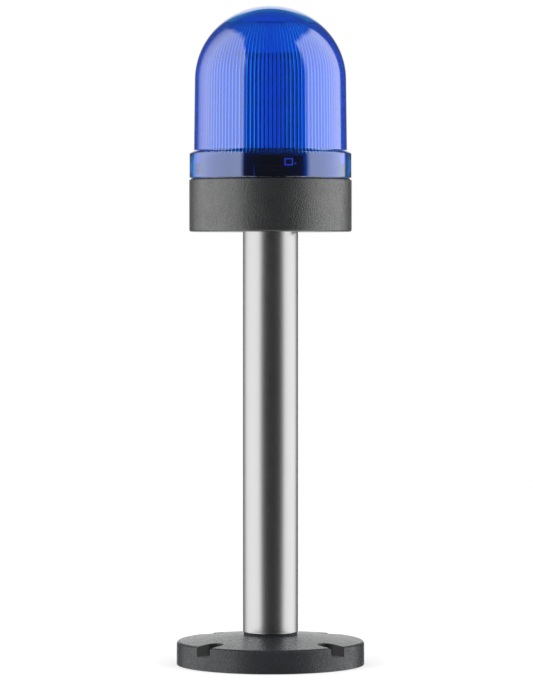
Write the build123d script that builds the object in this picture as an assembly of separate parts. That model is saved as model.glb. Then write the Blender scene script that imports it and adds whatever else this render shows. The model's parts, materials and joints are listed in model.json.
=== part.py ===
"""Sounder beacon on a pole.

A screw-down foot carries a metal tube, the tube carries a sounder housing, and a
ribbed dome lens twists onto the housing over a post of LEDs.

Millimetres, +Z up. The origin is the middle of the foot's underside, and the front
of the beacon faces -Y.
"""
import os
from math import acos, asin, cos, pi, radians, sin, sqrt

from build123d import *

# Foot: a moulded disc with a shallow cone on top and four open screw pockets
FOOT_R = 42.5
FOOT_RIM_H = 10.4
FOOT_CONE_RISE = 3.1
FOOT_SEAT_MARGIN = 0.7
FOOT_EDGE_ROUND = 1.5
FOOT_WALL = 2.6
FOOT_HUB_MARGIN = 4.0
FOOT_POCKET_WALL = 1.8
FOOT_RIBS = 8
FOOT_RIB_T = 1.8

# Screw pockets and fixing holes in the foot
FIXING_COUNT = 4
FIXING_START_DEG = 45.0
FIXING_INSET = 6.5
FIXING_HOLE_R = 2.25
POCKET_W = 8.4
POCKET_DEPTH = 4.4
POCKET_EDGE_ROUND = 0.5

# Sealing cord let into the foot's underside
FOOT_GASKET_INSET = 2.5
FOOT_GASKET_W = 1.6
FOOT_GASKET_T = 1.0

# Cable way up the middle
CABLE_R = 4.0
PLUG_BORE_R = 5.0
HOUSING_CABLE_R = 4.5

# Pole
POLE_R = 12.5
POLE_WALL = 1.5
POLE_LENGTH = 191.0
POLE_END_BREAK = 0.4
FOOT_SEAL_T = 1.0
FOOT_SEAL_SETBACK = 0.4

# Plugs pressed into the two ends of the pole
PLUG_FIT = 0.05
FOOT_PLUG_LENGTH = 30.0
HEAD_PLUG_LENGTH = 25.0

# Screws that hold the two plugs
PLUG_SCREW_COUNT = 4
PLUG_SCREW_R = 1.7
PLUG_SCREW_HEAD_R = 3.0
PLUG_SCREW_HEAD_H = 1.8
PLUG_SCREW_BITE = 12.0
PLUG_SCREW_START_DEG = 0.0
COUNTERBORE_DEPTH = 6.0
SCREW_FIT = 0.05
SCREW_CLEARANCE = 0.2
HEAD_CLEARANCE = 0.3
PILOT_SPARE = 1.5

# Housing: a moulded cup with a socket for the pole and a neck for the lens
BODY_R = 36.7
HOUSING_HEIGHT = 23.5
HOUSING_WALL = 2.5
HOUSING_FLOOR = 3.0
HOUSING_EDGE_ROUND = 1.0
HOUSING_TOP_BREAK = 0.3
SOCKET_DEPTH = 10.0
SOCKET_FIT = 0.05
SOCKET_WALL = 2.4
SOCKET_LIP = 2.5
NECK_WALL = 2.0
NECK_TOP_GAP = 1.0

# Sealing ring between the housing's rim and the lens
LENS_GAP = 0.6
LENS_SEAL_INSET = 0.2
LENS_SEAL_W = 1.4
LENS_SEAL_DEPTH = 0.8
LENS_SEAL_PROUD = 0.4

# Bayonet: lugs inside the lens collar turn under ledges on the housing's neck
BAYONET_COUNT = 4
LUG_DEG = 24.0
LUG_REACH = 2.0
LUG_RISE = 3.3
LUG_T = 1.9
LUG_CLEARANCE = 0.4
LUG_TOP_CLEARANCE = 0.3
LEDGE_T = 1.5
LEDGE_CLEARANCE = 0.5
LEDGE_COVER_DEG = 2.0
STOP_DEG = 2.4
STOP_GAP_DEG = 0.6
TWIST_DEG = 30.0

# Lens: a collar, a straight wall with a little draft, and a dome of two arcs
COLLAR_HEIGHT = 12.7
COLLAR_WALL = 2.3
COLLAR_CEILING = 2.3
COLLAR_SHOULDER_H = 1.4
COLLAR_EDGE_ROUND = 0.5
LENS_STEP_IN = 2.0
LENS_DRAFT = 0.4
LENS_WALL_H = 31.65
LENS_WALL = 1.5
DOME_AXIS_R = 0.9
DOME_CROWN_EXTRA = 8.6
RIB_COUNT = 120
RIB_DEPTH = 0.9
RIB_END_DEG = 50.0
RIB_SPANS = 4
CROWN_STEP = 0.1

# Sounder under the board, over its holes in the housing floor: it fills the room
# between the pole's socket and the neck, less these two gaps
SOUNDER_SOCKET_GAP = 0.45
SOUNDER_NECK_GAP = 0.6
SOUNDER_HEIGHT = 12.5
SOUNDER_WALL = 1.0
SOUNDER_FACE = 1.5
SOUNDER_MOUTH_R = 2.0
SOUNDER_CHAMBER_H = 2.2
SOUNDER_LEDGE = 0.8
DISC_T = 0.4
DISC_FIT = 0.1
SOUNDER_GASKET_T = 1.0
SOUNDER_GASKET_W = 2.4
SOUNDER_GASKET_SETBACK = 0.4
SOUND_HOLE_R = 0.9
SOUND_HOLE_MARGIN = 0.7
SOUND_HOLE_COUNT = 6

# Main board and its fastening
BOARD_FIT = 1.5
BOARD_T = 1.6
BOARD_SCREW_COUNT = 3
BOARD_SCREW_START_DEG = 60.0
BOARD_SCREW_INSET = 3.5
BOARD_SCREW_R = 1.45
BOARD_SCREW_LENGTH = 8.0
BOARD_SCREW_HEAD_R = 2.8
BOARD_SCREW_HEAD_H = 2.0
BOSS_R = 3.2
CABLE_SLOT_W = 10.0
CABLE_SLOT_D = 4.5
CABLE_SLOT_GAP = 0.55

# Parts on the main board, each placed by its distance in from the rim and its angle
TERMINAL_WAYS = 3
TERMINAL_PITCH = 5.0
TERMINAL_D = 7.5
TERMINAL_H = 9.0
TERMINAL_SLOT_GAP = 0.8
TERMINAL_WELL_R = 1.9
TERMINAL_WELL_DEPTH = 3.0
TERMINAL_ENTRY = 2.8
TERMINAL_ENTRY_Z = 1.2
TERMINAL_SCREW_R = 1.7
TERMINAL_SCREW_H = 2.2
DRIVE_SLOT_W = 0.6
DRIVE_SLOT_DEPTH = 0.8
CAPACITOR_R = 4.0
CAPACITOR_H = 10.0
CAPACITOR_INSET = 8.5
CAPACITOR_AT_DEG = 233.0
RECTIFIER_SIZE = (8.0, 6.5, 3.0)
RECTIFIER_INSET = 7.9
RECTIFIER_AT_DEG = 275.0
DRIVER_SIZE = (6.0, 5.0, 1.6)
DRIVER_INSET = 10.7
DRIVER_AT_DEG = 10.0

# Post of LEDs in the middle of the lens
POST_W = 7.0
POST_HEIGHT = 60.9
POST_FLANGE_R = 10.5
POST_FLANGE_T = 2.0
POST_BOSS_R = 2.0
POST_BOSS_H = 6.0
POST_BOSS_AT_R = 8.0
POST_BOSS_START_DEG = 45.0
POST_BOSS_COUNT = 2
POST_SCREW_R = 1.1
POST_SCREW_BITE = 5.0
POST_SCREW_HEAD_R = 2.2
POST_SCREW_HEAD_H = 1.6
STRIP_COUNT = 4
STRIP_W = 6.8
STRIP_T = 1.0
CAP_SOCKET = 1.5
CAP_TOP = 1.5
CAP_OVERHANG = 0.3
CAP_FIT = 0.05
CAP_EDGE_BREAK = 0.6
LEDS_PER_STRIP = 5
LED_W = 3.5
LED_H = 2.8
LED_T = 1.4
LED_EDGE_BREAK = 0.4
LED_END_MARGIN = 8.5

# Heights that follow from the sizes above, from the foot up
FOOT_SEAT_Z = FOOT_RIM_H + FOOT_CONE_RISE
POLE_Z0 = FOOT_SEAT_Z + FOOT_SEAL_T
POLE_Z1 = POLE_Z0 + POLE_LENGTH
HOUSING_Z0 = POLE_Z1 - SOCKET_DEPTH
HOUSING_Z1 = HOUSING_Z0 + HOUSING_HEIGHT
FLOOR_Z = HOUSING_Z0 + HOUSING_FLOOR
SOCKET_Z1 = POLE_Z1 + SOCKET_LIP
DECK_Z = HOUSING_Z1 - HOUSING_WALL
SOUNDER_Z0 = FLOOR_Z + SOUNDER_GASKET_T
BOARD_Z0 = SOUNDER_Z0 + SOUNDER_HEIGHT
BOARD_Z1 = BOARD_Z0 + BOARD_T
LENS_Z0 = HOUSING_Z1 + LENS_GAP
CEILING_Z = LENS_Z0 + COLLAR_HEIGHT - COLLAR_CEILING
WALL_Z0 = LENS_Z0 + COLLAR_HEIGHT
DOME_Z = WALL_Z0 + LENS_WALL_H
NECK_Z1 = CEILING_Z - NECK_TOP_GAP
LUG_Z0 = HOUSING_Z1 + LUG_RISE
LUG_Z1 = LUG_Z0 + LUG_T
LEDGE_Z0 = LUG_Z1 + LUG_TOP_CLEARANCE
LEDGE_Z1 = LEDGE_Z0 + LEDGE_T
FLANGE_Z1 = BOARD_Z1 + POST_FLANGE_T
POST_Z1 = BOARD_Z1 + POST_HEIGHT
STRIP_Z1 = POST_Z1 - CAP_SOCKET
POCKET_FLOOR_Z = FOOT_RIM_H - POCKET_DEPTH

# Radii and places that follow from the sizes above
FOOT_SEAT_R = POLE_R + FOOT_SEAT_MARGIN
FOOT_HUB_R = POLE_R + FOOT_HUB_MARGIN
FIXING_AT_R = FOOT_R - FIXING_INSET
FOOT_RING_IN_R = FIXING_AT_R - POCKET_W / 2 - FOOT_POCKET_WALL
FOOT_GASKET_R = FOOT_R - FOOT_GASKET_INSET
POLE_IN_R = POLE_R - POLE_WALL
PLUG_R = POLE_IN_R - PLUG_FIT
PLUG_SCREW_AT_R = (PLUG_BORE_R + PLUG_R) / 2
SOCKET_R = POLE_R + SOCKET_FIT
SOCKET_OUT_R = SOCKET_R + SOCKET_WALL
COLLAR_IN_R = BODY_R - COLLAR_WALL
LENS_SEAL_IN_R = COLLAR_IN_R + LENS_SEAL_INSET
LUG_IN_R = COLLAR_IN_R - LUG_REACH
NECK_R = LUG_IN_R - LUG_CLEARANCE
NECK_IN_R = NECK_R - NECK_WALL
LEDGE_R = COLLAR_IN_R - LEDGE_CLEARANCE
BOARD_R = NECK_IN_R - BOARD_FIT
BOARD_SCREW_AT_R = BOARD_R - BOARD_SCREW_INSET
CAPACITOR_AT_R = BOARD_R - CAPACITOR_INSET
RECTIFIER_AT_R = BOARD_R - RECTIFIER_INSET
DRIVER_AT_R = BOARD_R - DRIVER_INSET
SOUNDER_LOW_R = SOCKET_OUT_R + SOUNDER_SOCKET_GAP
SOUNDER_HIGH_R = NECK_IN_R - SOUNDER_NECK_GAP
SOUNDER_R = (SOUNDER_HIGH_R - SOUNDER_LOW_R) / 2
SOUNDER_AT_R = (SOUNDER_HIGH_R + SOUNDER_LOW_R) / 2
SOUNDER_IN_R = SOUNDER_R - SOUNDER_WALL
SOUNDER_GASKET_R = SOUNDER_R - SOUNDER_GASKET_SETBACK
SOUNDER_GASKET_IN_R = SOUNDER_GASKET_R - SOUNDER_GASKET_W
SOUND_HOLE_RING_R = SOUNDER_GASKET_IN_R - SOUND_HOLE_R - SOUND_HOLE_MARGIN
CABLE_SLOT_Y = POST_FLANGE_R + CABLE_SLOT_GAP + CABLE_SLOT_D / 2
LENS_FOOT_R = BODY_R - LENS_STEP_IN
LENS_TOP_R = LENS_FOOT_R - LENS_DRAFT
DOME_SHOULDER_R = LENS_TOP_R - DOME_AXIS_R
DOME_CROWN_R = DOME_SHOULDER_R + DOME_CROWN_EXTRA
LED_PITCH = (STRIP_Z1 - FLANGE_Z1 - 2 * LED_END_MARGIN) / (LEDS_PER_STRIP - 1)

# How far joined shapes run into each other before they are fused
WELD = 0.1

# How far a cutter is longer than what it cuts, and how near an edge lies to its place
CUT_OVERRUN = 1.0
NEAR = 0.001


def ring(r_in, r_out, z_low, z_high):
    """A flat-ended ring about the Z axis, or a disc where r_in is nought."""
    face = Circle(r_out) - Circle(r_in) if r_in > 0 else Circle(r_out)
    return Pos(0, 0, z_low) * extrude(face, z_high - z_low)


def rod(x, y, radius, z_low, z_high):
    """A round rod or hole cutter that stands at x, y."""
    return Pos(x, y, 0) * ring(0, radius, z_low, z_high)


def block(x, y, z_low, size):
    """A box of the given size with its underside at z_low, centred on x, y."""
    return Pos(x, y, z_low + size[2] / 2) * Box(*size)


def turned(points, start_deg=0.0, arc_deg=360.0):
    """A closed outline of (radius, height) points turned about the Z axis."""
    outline = Polyline(*[(r, 0, z) for r, z in points], close=True)
    return Rot(0, 0, start_deg) * revolve(make_face(outline), Axis.Z, arc_deg)


def sector(r_in, r_out, z_low, z_high, start_deg, end_deg):
    """A piece of a ring between two angles."""
    points = [(r_in, z_low), (r_out, z_low), (r_out, z_high), (r_in, z_high)]
    return turned(points, start_deg, end_deg - start_deg)


def around(count, start_deg):
    """Angles of a round pattern, in degrees."""
    return [start_deg + 360.0 * i / count for i in range(count)]


def on_circle(radius, angle_deg):
    """The x, y point at a radius and an angle."""
    return radius * cos(radians(angle_deg)), radius * sin(radians(angle_deg))


def edges_at(shape, radius, height):
    """The round edges of a shape that lie at one radius and one height."""
    def matches(edge):
        near_height = abs(edge.center(CenterOf.BOUNDING_BOX).Z - height) < NEAR
        return edge.geom_type == GeomType.CIRCLE and near_height and abs(edge.radius - radius) < NEAR
    return shape.edges().filter_by(matches)


def foot_top(radius):
    """Height of the foot's cone at a radius."""
    slope = FOOT_CONE_RISE / (FOOT_R - FOOT_SEAT_R)
    return FOOT_RIM_H + slope * (FOOT_R - radius)


def plug_screw_points():
    """Places of the screws that hold a plug."""
    return [on_circle(PLUG_SCREW_AT_R, a) for a in around(PLUG_SCREW_COUNT, PLUG_SCREW_START_DEG)]


def foot_underside():
    """Cutter for the moulding's hollow underside, with its ribs left standing."""
    inner, outer = FOOT_HUB_R, FOOT_RING_IN_R
    hollow = turned([(inner, 0), (outer, 0), (outer, foot_top(outer) - FOOT_WALL),
                     (inner, foot_top(inner) - FOOT_WALL)])
    for angle in around(FOOT_RIBS, 0.0):
        middle = (inner + outer) / 2
        hollow -= Rot(0, 0, angle) * block(middle, 0, 0, (outer, FOOT_RIB_T, FOOT_SEAT_Z))
    return hollow


def foot_pocket():
    """Cutter for one screw pocket, open at the rim, along +X."""
    at_r = FIXING_AT_R
    reach = FOOT_R + POCKET_W - at_r
    lane = Pos(at_r + reach / 2, 0) * Rectangle(reach, POCKET_W)
    outline = lane + Pos(at_r, 0) * Circle(POCKET_W / 2)
    return Pos(0, 0, POCKET_FLOOR_Z) * extrude(outline, FOOT_SEAT_Z)


def make_foot():
    """The moulded foot."""
    body = turned([(0, 0), (FOOT_R, 0), (FOOT_R, FOOT_RIM_H), (FOOT_SEAT_R, FOOT_SEAT_Z),
                   (0, FOOT_SEAT_Z)])
    body = fillet(edges_at(body, FOOT_R, FOOT_RIM_H), FOOT_EDGE_ROUND)
    for angle in around(FIXING_COUNT, FIXING_START_DEG):
        body -= Rot(0, 0, angle) * foot_pocket()
    body = fillet(pocket_top_edges(body), POCKET_EDGE_ROUND)
    for angle in around(FIXING_COUNT, FIXING_START_DEG):
        body -= rod(*on_circle(FIXING_AT_R, angle), FIXING_HOLE_R, 0, POCKET_FLOOR_Z)
    body -= foot_underside()
    body -= ring(FOOT_GASKET_R - FOOT_GASKET_W / 2, FOOT_GASKET_R + FOOT_GASKET_W / 2, 0, FOOT_GASKET_T)
    body -= ring(0, CABLE_R, 0, FOOT_SEAT_Z)
    for x, y in plug_screw_points():
        body -= rod(x, y, PLUG_SCREW_R + SCREW_CLEARANCE, 0, FOOT_SEAT_Z)
        body -= rod(x, y, PLUG_SCREW_HEAD_R + HEAD_CLEARANCE, 0, COUNTERBORE_DEPTH)
    return body


def pocket_top_edges(body):
    """The edges of the screw pockets above their floor, where the walls meet the cone and the rim."""
    def matches(edge):
        middle = edge @ 0.5
        offsets = [abs(pocket_offset(middle, angle)) for angle in around(FIXING_COUNT, FIXING_START_DEG)]
        return middle.Z > POCKET_FLOOR_Z + POCKET_EDGE_ROUND and min(offsets) < NEAR
    return body.edges().filter_by(matches)


def pocket_offset(point, angle_deg):
    """How far a point lies from the wall of the pocket at an angle."""
    c, s = cos(radians(angle_deg)), sin(radians(angle_deg))
    along = point.X * c + point.Y * s - FIXING_AT_R
    across = abs(-point.X * s + point.Y * c)
    away = across if along > 0 else sqrt(along ** 2 + across ** 2)
    return away - POCKET_W / 2


def make_foot_gasket():
    """The sealing cord in the foot's underside."""
    return ring(FOOT_GASKET_R - FOOT_GASKET_W / 2, FOOT_GASKET_R + FOOT_GASKET_W / 2, 0, FOOT_GASKET_T)


def upright_screw(x, y, seat_z, shank_r, length, head_r, head_h, up=1):
    """A pan-head screw: its head on one side of seat_z and its shank on the other.

    up is 1 where the shank points up and -1 where it points down.
    """
    shank = rod(x, y, shank_r, min(seat_z, seat_z + up * length), max(seat_z, seat_z + up * length))
    head = rod(x, y, head_r, min(seat_z, seat_z - up * head_h), max(seat_z, seat_z - up * head_h))
    slot = (2 * head_r + CUT_OVERRUN, DRIVE_SLOT_W, 2 * DRIVE_SLOT_DEPTH)
    return shank + head - block(x, y, seat_z - up * head_h - DRIVE_SLOT_DEPTH, slot)


def make_foot_screws():
    """The screws that draw the pole's lower plug down onto the foot."""
    length = FOOT_SEAT_Z - COUNTERBORE_DEPTH + PLUG_SCREW_BITE
    return [upright_screw(x, y, COUNTERBORE_DEPTH, PLUG_SCREW_R, length, PLUG_SCREW_HEAD_R, PLUG_SCREW_HEAD_H)
            for x, y in plug_screw_points()]


def make_plug(z_low, z_high, pilot_low, pilot_high):
    """A plug for an end of the pole, with a cable way and pilot holes."""
    body = ring(PLUG_BORE_R, PLUG_R, z_low, z_high)
    for x, y in plug_screw_points():
        body -= rod(x, y, PLUG_SCREW_R + SCREW_FIT, pilot_low, pilot_high)
    return body


def make_pole_foot_plug():
    """The plug in the pole's lower end."""
    return make_plug(FOOT_SEAT_Z, FOOT_SEAT_Z + FOOT_PLUG_LENGTH, FOOT_SEAT_Z,
                     FOOT_SEAT_Z + PLUG_SCREW_BITE + PILOT_SPARE)


def make_pole_foot_seal():
    """The dark rubber ring between the foot and the pole's lower end."""
    return ring(PLUG_R + PLUG_FIT, POLE_R - FOOT_SEAL_SETBACK, FOOT_SEAT_Z, POLE_Z0)


def make_pole():
    """The metal tube, with its outer edges broken."""
    body = ring(POLE_IN_R, POLE_R, POLE_Z0, POLE_Z1)
    return chamfer(edges_at(body, POLE_R, POLE_Z0) + edges_at(body, POLE_R, POLE_Z1), POLE_END_BREAK)


def make_pole_head_plug():
    """The plug in the pole's upper end."""
    return make_plug(POLE_Z1 - HEAD_PLUG_LENGTH, POLE_Z1, POLE_Z1 - PLUG_SCREW_BITE - PILOT_SPARE, POLE_Z1)


def make_pole_head_screws():
    """The screws that hold the housing down on the pole's upper plug."""
    length = SOCKET_LIP + PLUG_SCREW_BITE
    return [upright_screw(x, y, SOCKET_Z1, PLUG_SCREW_R, length, PLUG_SCREW_HEAD_R, PLUG_SCREW_HEAD_H, -1)
            for x, y in plug_screw_points()]


def board_screw_points():
    """Places of the screws that hold the main board."""
    return [on_circle(BOARD_SCREW_AT_R, a) for a in around(BOARD_SCREW_COUNT, BOARD_SCREW_START_DEG)]


def sound_hole_points():
    """Places of the sound holes under the sounder."""
    rim = [on_circle(SOUND_HOLE_RING_R, a) for a in around(SOUND_HOLE_COUNT, 0.0)]
    return [(SOUNDER_AT_R + x, y) for x, y in [(0.0, 0.0)] + rim]


def bayonet_ledge(angle_deg):
    """One ledge on the neck with the stops at the closed and the open end."""
    half = LUG_DEG / 2
    closed = angle_deg - half - STOP_GAP_DEG
    opened = angle_deg + half + TWIST_DEG + STOP_GAP_DEG
    r_in = NECK_R - WELD
    foot_z = HOUSING_Z1 - WELD
    ledge = sector(r_in, LEDGE_R, LEDGE_Z0, LEDGE_Z1, closed - STOP_DEG, angle_deg + half + LEDGE_COVER_DEG)
    closed_stop = sector(r_in, LEDGE_R, foot_z, LEDGE_Z1, closed - STOP_DEG, closed)
    open_stop = sector(r_in, LEDGE_R, foot_z, LEDGE_Z1, opened, opened + STOP_DEG)
    return ledge + closed_stop + open_stop


def make_housing():
    """The moulded housing with its pole socket, bosses, neck and bayonet ledges."""
    body = ring(0, BODY_R, HOUSING_Z0, HOUSING_Z1)
    body = fillet(edges_at(body, BODY_R, HOUSING_Z0), HOUSING_EDGE_ROUND)
    body = chamfer(edges_at(body, BODY_R, HOUSING_Z1), HOUSING_TOP_BREAK)
    body -= ring(0, BODY_R - HOUSING_WALL, FLOOR_Z, DECK_Z)
    body -= ring(0, NECK_IN_R, DECK_Z, HOUSING_Z1)
    body += ring(NECK_IN_R, NECK_R, HOUSING_Z1 - WELD, NECK_Z1)
    body += ring(0, SOCKET_OUT_R, FLOOR_Z - WELD, SOCKET_Z1)
    body -= ring(0, SOCKET_R, HOUSING_Z0, POLE_Z1)
    body -= ring(0, HOUSING_CABLE_R, POLE_Z1, SOCKET_Z1)
    for x, y in plug_screw_points():
        body -= rod(x, y, PLUG_SCREW_R + SCREW_CLEARANCE, POLE_Z1, SOCKET_Z1)
    for x, y in board_screw_points():
        body += rod(x, y, BOSS_R, FLOOR_Z - WELD, BOARD_Z0)
        body -= rod(x, y, BOARD_SCREW_R + SCREW_FIT, BOARD_Z1 - BOARD_SCREW_LENGTH - PILOT_SPARE, BOARD_Z0)
    for x, y in sound_hole_points():
        body -= rod(x, y, SOUND_HOLE_R, HOUSING_Z0, FLOOR_Z)
    for angle in around(BAYONET_COUNT, 0.0):
        body += bayonet_ledge(angle)
    body -= ring(LENS_SEAL_IN_R, LENS_SEAL_IN_R + LENS_SEAL_W, HOUSING_Z1 - LENS_SEAL_DEPTH, HOUSING_Z1)
    return body


def make_lens_seal():
    """The rubber ring let into the housing's rim under the lens collar."""
    return ring(LENS_SEAL_IN_R, LENS_SEAL_IN_R + LENS_SEAL_W, HOUSING_Z1 - LENS_SEAL_DEPTH,
                HOUSING_Z1 + LENS_SEAL_PROUD)


def make_sounder_gasket():
    """The soft ring that seals the sounder's face to the housing floor."""
    return Pos(SOUNDER_AT_R, 0, 0) * ring(SOUNDER_GASKET_IN_R, SOUNDER_GASKET_R, FLOOR_Z, SOUNDER_Z0)


def make_sounder_case():
    """The sounder's round case: mouth, front chamber, ledge for the disc, closed back."""
    ledge_z = SOUNDER_Z0 + SOUNDER_FACE + SOUNDER_CHAMBER_H
    body = ring(SOUNDER_MOUTH_R, SOUNDER_R, SOUNDER_Z0, BOARD_Z0)
    body -= ring(0, SOUNDER_IN_R - SOUNDER_LEDGE, SOUNDER_Z0 + SOUNDER_FACE, ledge_z)
    body -= ring(0, SOUNDER_IN_R, ledge_z, BOARD_Z0 - SOUNDER_FACE)
    body += ring(0, SOUNDER_MOUTH_R + WELD, BOARD_Z0 - SOUNDER_FACE, BOARD_Z0)
    return Pos(SOUNDER_AT_R, 0, 0) * body


def make_sounder_disc():
    """The thin metal disc that makes the sound, on its ledge in the case."""
    ledge_z = SOUNDER_Z0 + SOUNDER_FACE + SOUNDER_CHAMBER_H
    return Pos(SOUNDER_AT_R, 0, 0) * ring(0, SOUNDER_IN_R - DISC_FIT, ledge_z, ledge_z + DISC_T)


def post_screw_points():
    """Places of the screws that hold the LED post."""
    return [on_circle(POST_BOSS_AT_R, a) for a in around(POST_BOSS_COUNT, POST_BOSS_START_DEG)]


def make_main_board():
    """The round board, with its screw holes and the slot that the wires come up through."""
    body = ring(0, BOARD_R, BOARD_Z0, BOARD_Z1)
    for x, y in board_screw_points():
        body -= rod(x, y, BOARD_SCREW_R + SCREW_CLEARANCE, BOARD_Z0, BOARD_Z1)
    for x, y in post_screw_points():
        body -= rod(x, y, POST_SCREW_R + SCREW_CLEARANCE, BOARD_Z0, BOARD_Z1)
    slot = Pos(0, CABLE_SLOT_Y, BOARD_Z0) * extrude(SlotOverall(CABLE_SLOT_W, CABLE_SLOT_D), BOARD_T)
    return body - slot


def make_board_screws():
    """The screws that hold the main board to the housing's bosses."""
    return [upright_screw(x, y, BOARD_Z1, BOARD_SCREW_R, BOARD_SCREW_LENGTH, BOARD_SCREW_HEAD_R,
                          BOARD_SCREW_HEAD_H, -1) for x, y in board_screw_points()]


def terminal_points():
    """Middle of each way of the terminal block."""
    y = CABLE_SLOT_Y + CABLE_SLOT_D / 2 + TERMINAL_SLOT_GAP + TERMINAL_D / 2
    first = -TERMINAL_PITCH * (TERMINAL_WAYS - 1) / 2
    return [(first + i * TERMINAL_PITCH, y) for i in range(TERMINAL_WAYS)]


def make_terminal_block():
    """The terminal block, with a screw well and a wire entry for each way."""
    y = terminal_points()[0][1]
    body = block(0, y, BOARD_Z1, (TERMINAL_WAYS * TERMINAL_PITCH, TERMINAL_D, TERMINAL_H))
    top = BOARD_Z1 + TERMINAL_H
    for x, way_y in terminal_points():
        body -= rod(x, way_y, TERMINAL_WELL_R, top - TERMINAL_WELL_DEPTH, top)
        body -= block(x, way_y - TERMINAL_D / 2, BOARD_Z1 + TERMINAL_ENTRY_Z,
                      (TERMINAL_ENTRY, TERMINAL_D, TERMINAL_ENTRY))
    return body


def make_terminal_screws():
    """The clamp screws in the terminal block's wells."""
    bottom = BOARD_Z1 + TERMINAL_H - TERMINAL_WELL_DEPTH
    screws = []
    for x, y in terminal_points():
        screw = rod(x, y, TERMINAL_SCREW_R, bottom, bottom + TERMINAL_SCREW_H)
        slot = (2 * TERMINAL_SCREW_R + CUT_OVERRUN, DRIVE_SLOT_W, DRIVE_SLOT_DEPTH)
        screws.append(screw - block(x, y, bottom + TERMINAL_SCREW_H - DRIVE_SLOT_DEPTH, slot))
    return screws


def make_capacitor():
    """The smoothing capacitor's can."""
    return rod(*on_circle(CAPACITOR_AT_R, CAPACITOR_AT_DEG), CAPACITOR_R, BOARD_Z1, BOARD_Z1 + CAPACITOR_H)


def make_rectifier():
    """The rectifier's flat case on the board."""
    return block(*on_circle(RECTIFIER_AT_R, RECTIFIER_AT_DEG), BOARD_Z1, RECTIFIER_SIZE)


def make_driver_chip():
    """The chip that drives the LEDs and the sounder."""
    return block(*on_circle(DRIVER_AT_R, DRIVER_AT_DEG), BOARD_Z1, DRIVER_SIZE)


def make_led_post():
    """The moulded post: a flange with two bosses and a square column."""
    body = ring(0, POST_FLANGE_R, BOARD_Z1, FLANGE_Z1)
    body += block(0, 0, BOARD_Z1, (POST_W, POST_W, POST_HEIGHT))
    for x, y in post_screw_points():
        body += rod(x, y, POST_BOSS_R, BOARD_Z1, BOARD_Z1 + POST_BOSS_H)
        body -= rod(x, y, POST_SCREW_R + SCREW_FIT, BOARD_Z1, BOARD_Z1 + POST_SCREW_BITE)
    return body


def make_post_screws():
    """The screws that hold the post, put in from under the board."""
    length = BOARD_T + POST_SCREW_BITE - SCREW_CLEARANCE
    return [upright_screw(x, y, BOARD_Z0, POST_SCREW_R, length, POST_SCREW_HEAD_R, POST_SCREW_HEAD_H)
            for x, y in post_screw_points()]


def make_led_strip(angle_deg):
    """One LED board on a side of the post."""
    size = (STRIP_T, STRIP_W, STRIP_Z1 - FLANGE_Z1)
    return Rot(0, 0, angle_deg) * block(POST_W / 2 + STRIP_T / 2, 0, FLANGE_Z1, size)


def make_leds(angle_deg):
    """The LEDs of one strip, one solid each."""
    face_x = POST_W / 2 + STRIP_T
    leds = []
    for i in range(LEDS_PER_STRIP):
        z = FLANGE_Z1 + LED_END_MARGIN + i * LED_PITCH - LED_H / 2
        led = block(face_x + LED_T / 2, 0, z, (LED_T, LED_W, LED_H))
        led = chamfer(led.faces().sort_by(Axis.X)[-1].edges(), LED_EDGE_BREAK)
        leds.append(Rot(0, 0, angle_deg) * led)
    return leds


def make_post_cap():
    """The cap on the post, which holds the tops of the strips."""
    width = POST_W + 2 * (STRIP_T + CAP_OVERHANG)
    socket = POST_W + 2 * CAP_FIT
    body = block(0, 0, STRIP_Z1, (width, width, CAP_SOCKET + CAP_TOP))
    body = chamfer(body.faces().sort_by(Axis.Z)[-1].edges(), CAP_EDGE_BREAK)
    return body - block(0, 0, STRIP_Z1, (socket, socket, CAP_SOCKET))


def skin_radius(depth, height):
    """Radius of the surface that lies a depth under the lens's outer skin, at a height."""
    if height <= DOME_Z:
        return LENS_FOOT_R - depth - LENS_DRAFT * (height - WALL_Z0) / LENS_WALL_H
    return DOME_AXIS_R + sqrt((DOME_SHOULDER_R - depth) ** 2 - (height - DOME_Z) ** 2)


def dome_curve(depth, start_rad):
    """The dome's half outline under the outer skin: a shoulder arc, then the flatter crown.

    The shoulder turns about a point DOME_AXIS_R from the Z axis and the crown about a
    point on the Z axis, below it, so that the two arcs meet without a corner.
    """
    drop = sqrt(DOME_CROWN_EXTRA ** 2 - DOME_AXIS_R ** 2)
    meet_rad = acos(DOME_AXIS_R / DOME_CROWN_EXTRA)
    shoulder, crown = DOME_SHOULDER_R - depth, DOME_CROWN_R - depth

    def on_shoulder(angle):
        return DOME_AXIS_R + shoulder * cos(angle), 0, DOME_Z + shoulder * sin(angle)

    def on_crown(angle):
        return crown * cos(angle), 0, DOME_Z - drop + crown * sin(angle)

    shoulder_arc = ThreePointArc(on_shoulder(start_rad), on_shoulder((start_rad + meet_rad) / 2),
                                 on_shoulder(meet_rad))
    top = (0, 0, DOME_Z - drop + crown)
    crown_arc = ThreePointArc(on_shoulder(meet_rad), on_crown((meet_rad + pi / 2) / 2), top)
    return shoulder_arc + crown_arc


def turned_dome(points, depth, start_rad=0.0):
    """Solid of revolution: corner points up from the axis, then the dome down to the axis."""
    dome = dome_curve(depth, start_rad)
    corners = [(r, 0, z) for r, z in points] + [dome @ 0]
    return revolve(make_face(Polyline(*corners) + dome + Line(dome @ 1, corners[0])), Axis.Z)


def ribbed_ring(height):
    """Corners of the ribbed wall's inner outline at a height, groove bottoms and rib tips by turns.

    The ribs get shallower with the radius, so that the facets between two heights are flat.
    """
    groove = skin_radius(LENS_WALL, height)
    tip = groove * (1 - RIB_DEPTH / skin_radius(LENS_WALL, WALL_Z0))
    radii = [groove if i % 2 else tip for i in range(2 * RIB_COUNT)]
    return [(*on_circle(r, 180.0 * i / RIB_COUNT), height) for i, r in enumerate(radii)]


def flat_face(points):
    """A flat face inside a closed outline of corner points."""
    return Face(Wire.make_polygon(points, close=True))


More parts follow.
